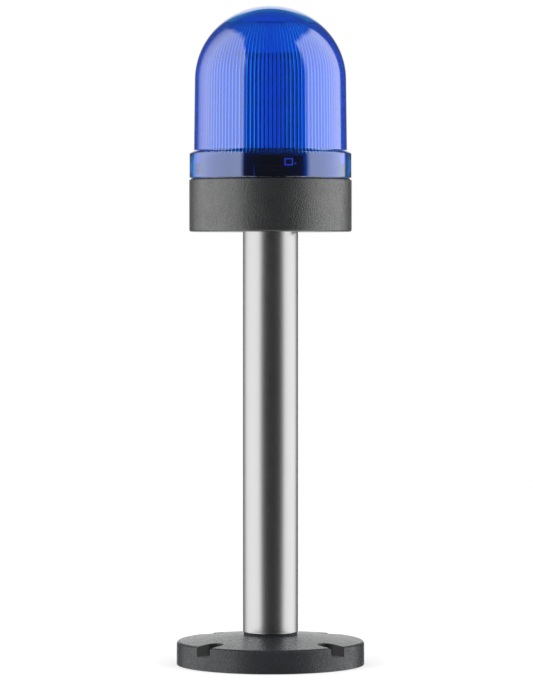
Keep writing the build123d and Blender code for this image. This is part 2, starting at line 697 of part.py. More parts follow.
def faceted_solid(rings):
    """A solid with flat facets between rings of corner points, from the lowest up."""
    faces = [flat_face(rings[0]), flat_face(rings[-1])]
    for low, high in zip(rings, rings[1:]):
        for i, corner in enumerate(low):
            after = (i + 1) % len(low)
            faces.append(flat_face([corner, low[after], high[after], high[i]]))
    return Solid(Shell(faces))


def lens_cavity():
    """Cutter for the inside of the lens: collar, ribbed wall and smooth crown."""
    inner = DOME_SHOULDER_R - LENS_WALL
    angles = [radians(RIB_END_DEG) * i / RIB_SPANS for i in range(RIB_SPANS + 1)]
    heights = [CEILING_Z - WELD] + [DOME_Z + inner * sin(a) for a in angles]
    ribbed = faceted_solid([ribbed_ring(z) for z in heights])
    crown_depth = LENS_WALL + RIB_DEPTH + CROWN_STEP
    low = heights[-2]
    start = asin((low - DOME_Z) / (DOME_SHOULDER_R - crown_depth))
    crown = turned_dome([(0, low)], crown_depth, start)
    return ribbed + crown + ring(0, COLLAR_IN_R, LENS_Z0, CEILING_Z)


def make_lens():
    """The lens: collar, ribbed wall, dome and bayonet lugs in one moulding."""
    body = turned_dome([(0, LENS_Z0), (BODY_R, LENS_Z0), (BODY_R, WALL_Z0 - COLLAR_SHOULDER_H),
                        (LENS_FOOT_R, WALL_Z0)], 0.0)
    body = fillet(edges_at(body, BODY_R, LENS_Z0), COLLAR_EDGE_ROUND)
    body -= lens_cavity()
    for angle in around(BAYONET_COUNT, -LUG_DEG / 2):
        body += sector(LUG_IN_R, COLLAR_IN_R + WELD, LUG_Z0, LUG_Z1, angle, angle + LUG_DEG)
    return body


def export(name, shape):
    """Write one node's STEP file; a list of solids is written as one group."""
    body = Compound(list(shape)) if isinstance(shape, list) else shape
    export_step(body, f"parts/{name}.step")


def main():
    """Build every piece and write it."""
    os.makedirs("parts", exist_ok=True)
    pieces = {
        "foot": make_foot(),
        "foot_gasket": make_foot_gasket(),
        "foot_screws": make_foot_screws(),
        "pole_foot_plug": make_pole_foot_plug(),
        "pole_foot_seal": make_pole_foot_seal(),
        "pole": make_pole(),
        "pole_head_plug": make_pole_head_plug(),
        "pole_head_screws": make_pole_head_screws(),
        "housing": make_housing(),
        "lens_seal": make_lens_seal(),
        "sounder_gasket": make_sounder_gasket(),
        "sounder_case": make_sounder_case(),
        "sounder_disc": make_sounder_disc(),
        "main_board": make_main_board(),
        "board_screws": make_board_screws(),
        "terminal_block": make_terminal_block(),
        "terminal_screws": make_terminal_screws(),
        "capacitor": make_capacitor(),
        "rectifier": make_rectifier(),
        "driver_chip": make_driver_chip(),
        "led_post": make_led_post(),
        "post_screws": make_post_screws(),
        "post_cap": make_post_cap(),
        "lens": make_lens(),
    }
    for number, angle in enumerate(around(STRIP_COUNT, 0.0), start=1):
        pieces[f"led_strip_{number}"] = make_led_strip(angle)
        pieces[f"leds_{number}"] = make_leds(angle)
    for name, shape in pieces.items():
        export(name, shape)


if __name__ == "__main__":
    main()
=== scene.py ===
"""Studio picture of a sounder beacon: blue ribbed lens, grained housing, bright pole, foot.

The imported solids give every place. This script models the foot, the pole, the housing,
the lens and its lock mark anew there, gives every surface its finish, and sets up the
camera, the lamps and the floor.
"""
import json
import logging
import math
from dataclasses import dataclass, field
from enum import Enum
from typing import Callable, Iterable, Sequence

import bpy
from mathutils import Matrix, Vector


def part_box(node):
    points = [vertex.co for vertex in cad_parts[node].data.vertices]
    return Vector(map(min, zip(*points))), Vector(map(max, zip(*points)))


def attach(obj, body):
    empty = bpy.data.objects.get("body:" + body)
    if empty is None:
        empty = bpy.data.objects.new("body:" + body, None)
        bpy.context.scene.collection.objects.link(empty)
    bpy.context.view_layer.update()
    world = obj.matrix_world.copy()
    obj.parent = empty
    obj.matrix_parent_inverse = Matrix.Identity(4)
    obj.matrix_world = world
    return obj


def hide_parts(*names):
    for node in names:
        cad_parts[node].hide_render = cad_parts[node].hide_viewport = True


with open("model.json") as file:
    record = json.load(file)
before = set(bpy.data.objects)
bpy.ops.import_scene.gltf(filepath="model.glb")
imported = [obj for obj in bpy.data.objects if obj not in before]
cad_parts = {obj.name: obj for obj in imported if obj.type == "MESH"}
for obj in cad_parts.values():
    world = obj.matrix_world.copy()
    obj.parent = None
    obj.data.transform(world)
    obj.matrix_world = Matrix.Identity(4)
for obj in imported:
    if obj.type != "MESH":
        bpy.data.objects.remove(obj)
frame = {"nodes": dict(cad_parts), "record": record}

LOG = logging.getLogger("beacon")
MM = 0.001
TAU = math.tau
DOUBLES = 2e-6  # points of one outline that count as one
CUT_DOUBLES = 0.004 * MM  # points that cuts leave and that count as one
NEAR = 0.1 * MM  # how near a surface a point of it lies
SLACK = 0.01 * MM  # how far past a plane a point counts as beyond it
OVER = 1.0 * MM  # how far a cutter reaches past what it cuts
ROD_SIDES = 48
Colour = tuple[float, float, float]
Point3 = tuple[float, float, float]
Profile = list[tuple[float, float]]
Stops = Sequence[tuple[float, float]]
Piece = bpy.types.Object
Material = bpy.types.Material
Tree = bpy.types.NodeTree
Node = bpy.types.Node
Socket = bpy.types.NodeSocket


class Body(Enum):
    """The two bodies of the beacon."""

    STAND = "stand"
    LENS = "lens_cap"


def rest_selection() -> None:
    """Leave edit mode and deselect everything."""
    active = bpy.context.object
    if active is not None and active.mode != "OBJECT":
        bpy.ops.object.mode_set(mode="OBJECT")
    bpy.ops.object.select_all(action="DESELECT")


def pick(piece: Piece) -> None:
    """Make one piece the only selected one, in object mode.

    Args:
        piece: The piece.
    """
    rest_selection()
    piece.select_set(True)
    bpy.context.view_layer.objects.active = piece


def edit(piece: Piece) -> None:
    """Pick one piece and enter edit mode."""
    pick(piece)
    bpy.ops.object.mode_set(mode="EDIT")


def leave_edit() -> None:
    """Go back to object mode."""
    bpy.ops.object.mode_set(mode="OBJECT")


def settle() -> None:
    """Put the place, turn and scale of what is selected into its mesh."""
    bpy.ops.object.transform_apply(location=True, rotation=True, scale=True)


def extrude(way: Point3) -> None:
    """Extrude what is selected along a way."""
    bpy.ops.mesh.extrude_region_move(TRANSFORM_OT_translate={"value": way})


def shift(way: Point3) -> None:
    """Move what is selected, and leave edit mode."""
    bpy.ops.transform.translate(value=way)
    leave_edit()


def widen(share: float) -> None:
    """Scale what is selected about the Z axis, and leave edit mode."""
    bpy.ops.transform.resize(value=(share, share, 1), center_override=(0, 0, 0))
    leave_edit()


def select_where(obj: Piece, kind: str, test: Callable[[Vector], bool]) -> int:
    """Select the vertices or faces whose place passes a test.

    Args:
        obj: The object, in object mode.
        kind: "VERT" or "FACE".
        test: Says whether a vertex place or a face middle is wanted.

    Returns:
        How many were selected.
    """
    edit(obj)
    bpy.ops.mesh.select_mode(type=kind)
    bpy.ops.mesh.select_all(action="DESELECT")
    leave_edit()
    items = obj.data.vertices if kind == "VERT" else obj.data.polygons
    count = 0
    for item in items:
        place = item.co if kind == "VERT" else item.center
        item.select = test(place)
        count += item.select
    bpy.ops.object.mode_set(mode="EDIT")
    return count


def round_box(node: str) -> tuple[float, float, float]:
    """Measure a round CAD node.

    Args:
        node: Name of the node.

    Returns:
        Its radius, its lowest and its highest height.
    """
    low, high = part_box(node)
    return (high[0] - low[0]) / 2, low[2], high[2]


def turn_profile(name: str, profile: Profile, steps: int) -> Piece:
    """Trace an outline of (radius, height) points by extrusion and spin it about the Z axis.

    Args:
        name: Name of the new piece.
        profile: The outline, in metres, traced once round.
        steps: Number of steps in the full turn.

    Returns:
        The turned piece, with its faces pointing outwards.
    """
    rest_selection()
    bpy.ops.mesh.primitive_plane_add(size=MM, location=(0, 0, 0))
    piece = bpy.context.object
    piece.name = piece.data.name = name
    bpy.ops.object.mode_set(mode="EDIT")
    bpy.ops.mesh.select_mode(type="VERT")
    bpy.ops.mesh.select_all(action="SELECT")
    bpy.ops.mesh.merge(type="CENTER")
    bpy.ops.transform.translate(value=(profile[0][0], 0, profile[0][1]))
    for (r_from, z_from), (r_to, z_to) in zip(profile, profile[1:]):
        extrude((r_to - r_from, 0, z_to - z_from))
    bpy.ops.mesh.select_all(action="SELECT")
    bpy.ops.mesh.spin(steps=steps, angle=TAU, center=(0, 0, 0), axis=(0, 0, 1))
    bpy.ops.mesh.select_all(action="SELECT")
    bpy.ops.mesh.remove_doubles(threshold=DOUBLES)
    bpy.ops.mesh.delete_loose(use_verts=True, use_edges=True, use_faces=False)
    bpy.ops.mesh.select_all(action="SELECT")
    bpy.ops.mesh.normals_make_consistent(inside=False)
    leave_edit()
    return piece


def smooth(piece: Piece, angle_deg: float) -> None:
    """Shade a piece smooth, apart from its edges sharper than an angle."""
    pick(piece)
    bpy.ops.object.shade_smooth_by_angle(angle=math.radians(angle_deg))


def apply_modifier(piece: Piece, kind: str, **settings: object) -> None:
    """Add a modifier to a piece, set it and apply it.

    Args:
        piece: The piece to change.
        kind: Blender's name of the modifier type.
        **settings: Values of the modifier's own fields.
    """
    pick(piece)
    modifier = piece.modifiers.new(kind.lower(), kind)
    for key, value in settings.items():
        setattr(modifier, key, value)
    bpy.ops.object.modifier_apply(modifier=modifier.name)


def dress(piece: Piece, material: Material) -> None:
    """Give a piece one material."""
    piece.data.materials.clear()
    piece.data.materials.append(material)


def place(piece: Piece, body: Body, slot: str, *nodes: str) -> None:
    """Let a piece ride on its body, and hide the CAD nodes that it stands for.

    Args:
        piece: The finished piece.
        body: The body that it moves with.
        slot: Not used.
        *nodes: CAD nodes that it replaces, if any.
    """
    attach(piece, body.value)
    if nodes:
        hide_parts(*nodes)
    LOG.info("%s: %d faces", piece.name, len(piece.data.polygons))


def on_circle(radius: float, count: int, start_deg: float) -> Profile:
    """Give x, y places evenly round the Z axis."""
    angles = [math.radians(start_deg) + TAU * i / count for i in range(count)]
    return [(radius * math.cos(a), radius * math.sin(a)) for a in angles]


def rounded_foot(radius: float, low: float, edge_round: float, steps: int) -> Profile:
    """Give the points of a rounded lower edge, from below to the side.

    Args:
        radius: Radius of the side.
        low: Height of the underside.
        edge_round: Radius of the rounding.
        steps: Number of steps on it.

    Returns:
        The points.
    """
    arc = [TAU * (0.75 + 0.25 * i / steps) for i in range(steps + 1)]
    middle_r, middle_z = radius - edge_round, low + edge_round
    return [(middle_r + edge_round * math.cos(a), middle_z + edge_round * math.sin(a)) for a in arc]


def combine(piece: Piece, tool: Piece, operation: str) -> None:
    """Join a tool to a piece or cut it away, and delete the tool.

    Args:
        piece: The piece to change.
        tool: The mesh that is added or cut away.
        operation: "UNION" or "DIFFERENCE".
    """
    apply_modifier(piece, "BOOLEAN", operation=operation, object=tool, solver="EXACT")
    bpy.data.objects.remove(tool, do_unlink=True)


def clean_cuts(piece: Piece) -> None:
    """Merge the points that cuts leave close together and drop faces with no area.

    Args:
        piece: The piece after its last cut.
    """
    edit(piece)
    bpy.ops.mesh.select_all(action="SELECT")
    bpy.ops.mesh.remove_doubles(threshold=CUT_DOUBLES)
    bpy.ops.mesh.dissolve_degenerate(threshold=CUT_DOUBLES)
    bpy.ops.mesh.delete_loose(use_verts=True, use_edges=True, use_faces=False)
    leave_edit()


def join(pieces: Sequence[Piece]) -> Piece:
    """Join pieces into the first of them.

    Args:
        pieces: The pieces, of which only the first is left.

    Returns:
        The first piece.
    """
    pick(pieces[0])
    for piece in pieces[1:]:
        piece.select_set(True)
    bpy.ops.object.join()
    return pieces[0]


def rods(name: str, places: Iterable[tuple[float, float]], radius: float, low: float,
         high: float) -> Piece:
    """Make upright round rods in one mesh, to join or to cut with.

    Args:
        name: Name of the mesh.
        places: The x, y place of each rod.
        radius: Radius of the rods.
        low: Height of their lower ends.
        high: Height of their upper ends.

    Returns:
        The rods as one object.
    """
    made = []
    for x, y in places:
        rest_selection()
        bpy.ops.mesh.primitive_cylinder_add(vertices=ROD_SIDES, radius=radius, depth=high - low,
                                            location=(x, y, (low + high) / 2))
        made.append(bpy.context.object)
    joined = join(made)
    joined.name = name
    settle()
    return joined


class Nodes:
    """A short hand for building a node tree."""

    def __init__(self, tree: Tree) -> None:
        """Keep the tree."""
        self.tree = tree

    def add(self, kind: str, **inputs: object) -> Node:
        """Add a node; values set its sockets, and sockets are linked to them.

        Args:
            kind: Blender's node type, without the ShaderNode prefix.
            **inputs: Socket names, with spaces as underscores, or fields of the node.

        Returns:
            The new node.
        """
        node = self.tree.nodes.new("ShaderNode" + kind)
        for key, value in inputs.items():
            name = key.replace("_", " ")
            if hasattr(node, key) and name not in node.inputs:
                setattr(node, key, value)
            else:
                self.feed(node.inputs[name], value)
        return node

    def feed(self, socket: Socket, value: object) -> None:
        """Link a socket to another, or set its value.

        Args:
            socket: The input socket.
            value: The output socket to link it to, or its value.
        """
        if isinstance(value, Socket):
            self.tree.links.new(value, socket)
        else:
            socket.default_value = value

    def math(self, operation: str, first: object, second: object = 0.0) -> Socket:
        """Add a Math node.

        Args:
            operation: Blender's name of the operation.
            first: Its first value or socket.
            second: Its second value or socket.

        Returns:
            The result's socket.
        """
        node = self.add("Math", operation=operation)
        self.feed(node.inputs[0], first)
        self.feed(node.inputs[1], second)
        return node.outputs[0]

    def mix(self, factor: object, first: object, second: object) -> Socket:
        """Add a Mix node of plain values.

        Args:
            factor: 0 for the first value, 1 for the second.
            first: The first value or socket.
            second: The second value or socket.

        Returns:
            The result's socket.
        """
        node = self.add("Mix", data_type="FLOAT")
        for index, value in ((0, factor), (2, first), (3, second)):
            self.feed(node.inputs[index], value)
        return node.outputs[0]

    def object_place(self) -> Socket:
        """Add the Object coordinates and return their socket."""
        return self.add("TexCoord").outputs["Object"]

    def group(self, tree: Tree, **inputs: float) -> Socket:
        """Point3 a shared effect group.

        Args:
            tree: The group.
            **inputs: The group's own input values.

        Returns:
            The group's output socket.
        """
        node = self.add("Group")
        node.node_tree = tree
        for key, value in inputs.items():
            node.inputs[key].default_value = value
        return node.outputs[0]

    def ramp(self, factor: object, stops: Stops) -> Socket:
        """Add a Color Ramp of greys and return its colour.

        Args:
            factor: Where to read the ramp.
            stops: Places from 0 to 1, each with its grey.

        Returns:
            The ramp's colour socket.
        """
        node = self.tree.nodes.new("ShaderNodeValToRGB")
        elements = node.color_ramp.elements
        elements.remove(elements[1])
        elements[0].position = stops[0][0]
        elements[0].color = (stops[0][1],) * 3 + (1.0,)
        for position, grey in stops[1:]:
            elements.new(position).color = (grey,) * 3 + (1.0,)
        self.feed(node.inputs["Fac"], factor)
        return node.outputs["Color"]


def effect_group(name: str, inputs: dict[str, float],
                 output: str) -> tuple[Nodes, Node, Socket]:
    """Start a shader node group with float inputs and one float output.

    Args:
        name: Name of the group.
        inputs: Input names, each with its usual value.
        output: Name of the output.

    Returns:
        The group's nodes, its input node and the socket that takes its result.
    """
    tree = bpy.data.node_groups.new(name, "ShaderNodeTree")
    for key, value in inputs.items():
        socket = tree.interface.new_socket(name=key, in_out="INPUT", socket_type="NodeSocketFloat")
        socket.default_value = value
    tree.interface.new_socket(name=output, in_out="OUTPUT", socket_type="NodeSocketFloat")
    given, result = tree.nodes.new("NodeGroupInput"), tree.nodes.new("NodeGroupOutput")
    return Nodes(tree), given, result.inputs[output]


def grain_group() -> Tree:
    """Build fine moulded grain: pebbles of two sizes over a slow swell.

    Returns:
        The group, which puts out a height.
    """
    fine_scale, swell_scale = 1.7, 0.12
    pebble_share, fine_share = 0.6, 0.7
    nodes, given, result = effect_group("moulded_grain", {"Scale": 1000.0, "Swell": 0.3}, "Height")
    coords = nodes.object_place()
    scale = given.outputs["Scale"]
    pebbles = nodes.add("TexVoronoi", Vector=coords, Scale=scale, Randomness=1.0)
    fine = nodes.add("TexNoise", Vector=coords, Scale=nodes.math("MULTIPLY", scale, fine_scale),
                     Detail=2.0, Roughness=0.6)
    swell = nodes.add("TexNoise", Vector=coords, Scale=nodes.math("MULTIPLY", scale, swell_scale),
                      Detail=1.0)
    height = nodes.math("ADD", nodes.math("MULTIPLY", pebbles.outputs["Distance"], pebble_share),
                        nodes.math("MULTIPLY", fine.outputs["Fac"], fine_share))
    swelling = nodes.math("MULTIPLY", swell.outputs["Fac"], given.outputs["Swell"])
    nodes.feed(result, nodes.math("ADD", height, swelling))
    return nodes.tree


def draw_line_group() -> Tree:
    """Build faint lines along the Z axis, as drawing leaves on a tube.

    Returns:
        The group, which puts out a height.
    """
    nodes, given, result = effect_group("draw_lines", {"Scale": 900.0}, "Height")
    stretched = nodes.add("Mapping", Vector=nodes.object_place(), Scale=(1.0, 1.0, 0.012))
    lines = nodes.add("TexNoise", Vector=stretched.outputs["Vector"], Scale=given.outputs["Scale"],
                      Detail=3.0, Roughness=0.55)
    nodes.feed(result, lines.outputs["Fac"])
    return nodes.tree


def drift_group() -> Tree:
    """Build a slow cloudy change, from 1 minus the amount to 1 plus the amount.

    Returns:
        The group, which puts out a factor.
    """
    nodes, given, result = effect_group("tone_drift", {"Scale": 40.0, "Amount": 0.1}, "Factor")
    cloud = nodes.add("TexNoise", Vector=nodes.object_place(), Scale=given.outputs["Scale"], Detail=3.0)
    centred = nodes.math("MULTIPLY", nodes.math("SUBTRACT", cloud.outputs["Fac"], 0.5), 2.0)
    swing = nodes.math("MULTIPLY", centred, given.outputs["Amount"])
    nodes.feed(result, nodes.math("ADD", swing, 1.0))
    return nodes.tree


class Effects:
    """The shared effect groups, each built once."""

    def __init__(self) -> None:
        """Build the groups."""
        self.grain = grain_group()
        self.draw_lines = draw_line_group()
        self.drift = drift_group()


@dataclass(frozen=True)
class Finish:
    """A surface finish: plain values of the shader, with grain and drift over it."""

    name: str
    colour: Colour
    roughness: float = 0.5
    metallic: float = 0.0
    specular: float = 0.5
    coat: float = 0.0
    coat_roughness: float = 0.05
    anisotropic: float = 0.0
    grain_scale: float = 1000.0
    grain_swell: float = 0.3
    grain_depth: float = 0.0
    grain_strength: float = 0.6
    grain_polish: float = 0.0
    polished_tops: tuple[float, float] = (0.62, 0.92)
    drift: float = 0.06
    drift_scale: float = 60.0
    roughness_drift: float = 0.04
    roughness_scale: float = 3.0

    def tone(self, nodes: Nodes, shader: Node, effects: Effects) -> None:
        """Let the colour and the roughness drift a little over the surface.

        Args:
            nodes: The material's nodes.
            shader: The material's shader.
            effects: The shared effect groups.
        """
        factor = nodes.group(effects.drift, Scale=self.drift_scale, Amount=self.drift)
        toned = nodes.add("VectorMath", operation="SCALE")
        toned.inputs[0].default_value = self.colour
        nodes.feed(toned.inputs["Scale"], factor)
        nodes.feed(shader.inputs["Base Color"], toned.outputs[0])
        rough = nodes.group(effects.drift, Scale=self.drift_scale * self.roughness_scale,
                            Amount=self.roughness_drift)
        nodes.feed(shader.inputs["Roughness"], nodes.math("MULTIPLY", rough, self.roughness))

    def relief(self, nodes: Nodes, shader: Node, height: Socket) -> None:
        """Feed a height into the shader's normal."""
        bump = nodes.add("Bump", Height=height, Strength=self.grain_strength, Distance=self.grain_depth)
        nodes.feed(shader.inputs["Normal"], bump.outputs["Normal"])

    def surface(self, nodes: Nodes, shader: Node, effects: Effects) -> None:
        """Lay moulded grain over the surface, with its tops polished where the finish has that.

        Args:
            nodes: The material's nodes.
            shader: The material's shader.
            effects: The shared effect groups.
        """
        if self.grain_depth > 0:
            height = nodes.group(effects.grain, Scale=self.grain_scale, Swell=self.grain_swell)
            self.relief(nodes, shader, height)
            if self.grain_polish > 0:
                low, high = self.polished_tops
                tops = nodes.ramp(height, [(low, 0.0), (high, 1.0)])
                nodes.feed(shader.inputs["Coat Weight"], nodes.math("MULTIPLY", tops, self.grain_polish))

    def make(self, effects: Effects) -> Material:
        """Build the material.

        Args:
            effects: The shared effect groups.

        Returns:
            The finished material.
        """
        material = bpy.data.materials.new(self.name)
        material.use_nodes = True
        nodes = Nodes(material.node_tree)
        shader = material.node_tree.nodes["Principled BSDF"]
        shader.inputs["Metallic"].default_value = self.metallic
        shader.inputs["Specular IOR Level"].default_value = self.specular
        shader.inputs["Coat Weight"].default_value = self.coat
        shader.inputs["Coat Roughness"].default_value = self.coat_roughness
        shader.inputs["Anisotropic"].default_value = self.anisotropic
        self.tone(nodes, shader, effects)
        self.surface(nodes, shader, effects)
        return material


@dataclass(frozen=True)
class DrawnMetal(Finish):
    """Polished tube with faint lines along it."""

    def surface(self, nodes: Nodes, shader: Node, effects: Effects) -> None:
        """Lay the faint lines over the surface."""
        self.relief(nodes, shader, nodes.group(effects.draw_lines, Scale=self.grain_scale))


@dataclass(frozen=True)
class ClearTint(Finish):
    """Clear tinted plastic that lets light through."""

    ior: float = 1.49
    coat_ior: float = 1.75

    def surface(self, nodes: Nodes, shader: Node, effects: Effects) -> None:
        """Make the plastic clear, and leave its skin without grain.

        Args:
            nodes: The material's nodes.
            shader: The material's shader.
            effects: The shared effect groups.
        """
        shader.inputs["Transmission Weight"].default_value = 1.0
        shader.inputs["IOR"].default_value = self.ior
        shader.inputs["Coat IOR"].default_value = self.coat_ior


FINISHES: dict[str, Finish] = {finish.name: finish for finish in (
    Finish("foot_plastic", (0.019, 0.021, 0.024), roughness=0.27, specular=0.3, coat_roughness=0.28,
           grain_scale=1300.0, grain_depth=0.20 * MM, grain_strength=1.0, grain_polish=0.45),
    Finish("housing_plastic", (0.014, 0.015, 0.016), roughness=0.34, specular=1.0, coat_roughness=0.32,
           grain_scale=1500.0, grain_depth=0.18 * MM, grain_strength=1.0, grain_polish=0.8),
    # The housing's inner faces and neck: plainer grain, and darker than the outside as painted shade behind
    # the lens collar.
    Finish("housing_inside_painted_shade", (0.003, 0.003, 0.0035), roughness=0.22, specular=1.0, coat=1.0,
           coat_roughness=0.12, grain_scale=1500.0, grain_depth=0.02 * MM),
    # Darker, plainer plastic for the foot pockets' insides: the darkness is painted shade.
    Finish("pocket_painted_shade", (0.006, 0.006, 0.007), roughness=0.6, specular=0.3, grain_scale=1500.0,
           grain_depth=0.05 * MM),
    Finish("mark_blue", (0.004, 0.02, 0.36), roughness=0.4, specular=0.4, grain_scale=3000.0,
           grain_depth=0.01 * MM),
    # Black rubber of the seals; where a seal fills the thin gap under the lens collar or at the pole's foot,
    # its black also stands in for that gap's shadow, so it is partly painted shade.
    Finish("seal_rubber", (0.010, 0.010, 0.011), roughness=0.65, specular=0.3, grain_scale=2400.0,
           grain_depth=0.04 * MM),
    DrawnMetal("pole_metal", (0.45, 0.45, 0.455), roughness=0.25, anisotropic=0.8, metallic=1.0,
               grain_scale=1400.0, grain_depth=0.01 * MM, grain_strength=0.05, drift=0.02,
               roughness_drift=0.05),
    Finish("plug_plastic", (0.025, 0.025, 0.026), roughness=0.5, grain_depth=0.04 * MM),
    DrawnMetal("screw_steel", (0.62, 0.62, 0.60), roughness=0.28, metallic=1.0, grain_scale=2600.0,
               grain_depth=0.02 * MM, grain_strength=0.4),
    Finish("sounder_plastic", (0.016, 0.016, 0.017), roughness=0.4, grain_depth=0.03 * MM),
    DrawnMetal("disc_brass", (0.72, 0.55, 0.24), roughness=0.3, metallic=1.0, grain_depth=0.01 * MM),
    Finish("board_green", (0.012, 0.09, 0.045), roughness=0.3, coat=0.3, grain_scale=700.0,
           grain_depth=0.02 * MM, drift=0.15, drift_scale=180.0),
    Finish("terminal_plastic", (0.02, 0.17, 0.08), roughness=0.42, grain_depth=0.03 * MM),
    DrawnMetal("can_aluminium", (0.5, 0.51, 0.53), roughness=0.3, metallic=1.0, grain_depth=0.01 * MM,
               grain_strength=0.3),
    Finish("chip_plastic", (0.014, 0.014, 0.015), roughness=0.48, grain_depth=0.03 * MM),
    Finish("post_plastic", (0.30, 0.31, 0.33), roughness=0.5, grain_depth=0.04 * MM),
    Finish("led_board", (0.50, 0.51, 0.53), roughness=0.32, coat=0.2, drift=0.12),
    Finish("led_lens", (0.80, 0.76, 0.52), roughness=0.22, coat=0.4, drift=0.05),
    ClearTint("lens_blue", (0.012, 0.25, 0.90), roughness=0.03, coat=1.0, coat_roughness=0.03, drift=0.02,
              drift_scale=30.0, roughness_drift=0.3),
)}


@dataclass
class Lens:
    """The lens: collar, ribbed wall, dome and bayonet lugs in one moulding."""

    collar_wall: float = 2.3 * MM
    collar_height: float = 12.7 * MM
    ceiling: float = 2.3 * MM
    shoulder_height: float = 1.4 * MM
    edge_round: float = 0.5 * MM
    step_in: float = 2.0 * MM
    draft: float = 0.4 * MM
    wall_height: float = 31.65 * MM
    wall: float = 1.5 * MM
    axis_r: float = 0.9 * MM
    crown_extra: float = 8.6 * MM
    crown_step: float = 0.1 * MM
    rib_depth: float = 0.9 * MM
    rib_relief: float = 0.48 * MM
    rib_count: int = 120
    rib_crests: tuple[float, ...] = (0.0, 0.6, 0.95, 0.95, 0.6)
    rib_end_deg: float = 50.0
    crown_gap_deg: float = 1.0
    lug_count: int = 4
    lug_deg: float = 24.0
    lug_reach: float = 2.0 * MM
    lug_rise: float = 2.7 * MM
    lug_height: float = 1.9 * MM
    # Points of the collar's upper edge: how far in and how far up, in millimetres
    brow: Stops = ((0.0, -0.35), (0.08, -0.08), (0.32, 0.16))
    wall_foot_out: float = 0.12 * MM
    wall_foot_drop: float = 0.08 * MM
    groove_slack: float = 0.12 * MM
    edge_rings: int = 4
    outer_rings: int = 26
    shoulder_rings: int = 12
    cap_rings: int = 6
    crown_rings: int = 16
    smooth_deg: float = 50.0
    body_r: float = field(init=False)
    low: float = field(init=False)

    def __post_init__(self) -> None:
        """Take the place and the radius from the lens's own box."""
        self.body_r, self.low, _ = round_box("lens")

    @property
    def wall_z(self) -> float:
        """Height of the wall's foot."""
        return self.low + self.collar_height

    @property
    def dome_z(self) -> float:
        """Height of the dome's foot."""
        return self.wall_z + self.wall_height

    @property
    def wall_foot_r(self) -> float:
        """Outer radius at the wall's foot."""
        return self.body_r - self.step_in

    @property
    def groove_foot_r(self) -> float:
        """Inner radius at the wall's foot, between two ribs."""
        return self.wall_foot_r - self.wall

    @property
    def top_r(self) -> float:
        """Outer radius at the dome's foot."""
        return self.wall_foot_r - self.draft

    @property
    def shoulder_in_r(self) -> float:
        """Radius of the inner shoulder's arc."""
        return self.top_r - self.axis_r - self.wall

    @property
    def ceiling_z(self) -> float:
        """Height of the collar's ceiling."""
        return self.wall_z - self.ceiling

    @property
    def collar_in_r(self) -> float:
        """Inner radius of the collar."""
        return self.body_r - self.collar_wall

    @property
    def lug_z(self) -> float:
        """Height of the lugs' undersides."""
        return self.low + self.lug_rise

    def dome(self, depth: float, start_deg: float, rings: int) -> Profile:
        """Trace the dome's half outline at a depth under the outer skin, up to the axis.

        Args:
            depth: Distance under the outer skin.
            start_deg: Angle above the horizontal at which the points start.
            rings: Number of points on the shoulder.

        Returns:
            The points, from the start to the top.
        """
        meet = math.acos(self.axis_r / self.crown_extra)
        drop = math.sqrt(self.crown_extra ** 2 - self.axis_r ** 2)
        shoulder = self.top_r - self.axis_r - depth
        crown = shoulder + self.crown_extra
        start = math.radians(start_deg)
        angles = [start + (meet - start) * i / rings for i in range(rings + 1)]
        points = [(self.axis_r + shoulder * math.cos(a), self.dome_z + shoulder * math.sin(a))
                  for a in angles]
        cap = [meet + (TAU / 4 - meet) * i / self.cap_rings for i in range(1, self.cap_rings + 1)]
        return points + [(crown * math.cos(a), self.dome_z - drop + crown * math.sin(a)) for a in cap]

    def outer(self) -> Profile:
        """Trace the outer outline.

        Returns:
            Its points, from the collar's lower edge up to the axis.
        """
        edge = rounded_foot(self.body_r, self.low, self.edge_round, self.edge_rings)
        brow_z = self.wall_z - self.shoulder_height
        brow = [(self.body_r - inwards * MM, brow_z + up * MM) for inwards, up in self.brow]
        wall_foot = [(self.wall_foot_r + self.wall_foot_out, self.wall_z - self.wall_foot_drop),
                     (self.wall_foot_r, self.wall_z)]
        return edge + brow + wall_foot + self.dome(0.0, 0.0, self.outer_rings)

    def inner(self) -> Profile:
        """Trace the inner outline.

        Returns:
            Its points, from the axis down to the collar's lower edge.
        """
        crown_depth = self.wall + self.rib_depth + self.crown_step
        crown = self.dome(crown_depth, self.rib_end_deg + self.crown_gap_deg, self.crown_rings)
        rings, arc_r = self.shoulder_rings, self.shoulder_in_r
        angles = [math.radians(self.rib_end_deg) * (1 - i / rings) for i in range(rings + 1)]
        shoulder = [(self.axis_r + arc_r * math.cos(a), self.dome_z + arc_r * math.sin(a)) for a in angles]
        heights = (self.ceiling_z, self.lug_z + self.lug_height, self.lug_z, self.low)
        collar = [(self.collar_in_r, z) for z in heights]
        return crown[::-1] + shoulder + [(self.groove_foot_r, self.ceiling_z)] + collar

    def groove_r(self, z: float) -> float:
        """Give the inner radius between two ribs.

        Args:
            z: The height.

        Returns:
            The radius at it.
        """
        if z <= self.dome_z:
            share = (z - self.wall_z + self.ceiling) / (self.wall_height + self.ceiling)
            return self.groove_foot_r - self.draft * share
        return self.axis_r + math.sqrt(max(self.shoulder_in_r ** 2 - (z - self.dome_z) ** 2, 0.0))

    def raise_ribs(self, piece: Piece) -> None:
        """Pull the crests of the ribs inwards from the groove surface.

        Args:
            piece: The turned lens.
        """
        per_rib = len(self.rib_crests)
        steps = per_rib * self.rib_count
        top_z = self.dome_z + self.shoulder_in_r * math.sin(math.radians(self.rib_end_deg))
        for crest in sorted(set(self.rib_crests) - {0.0}):
            wanted = {i for i, c in enumerate(self.rib_crests) if c == crest}

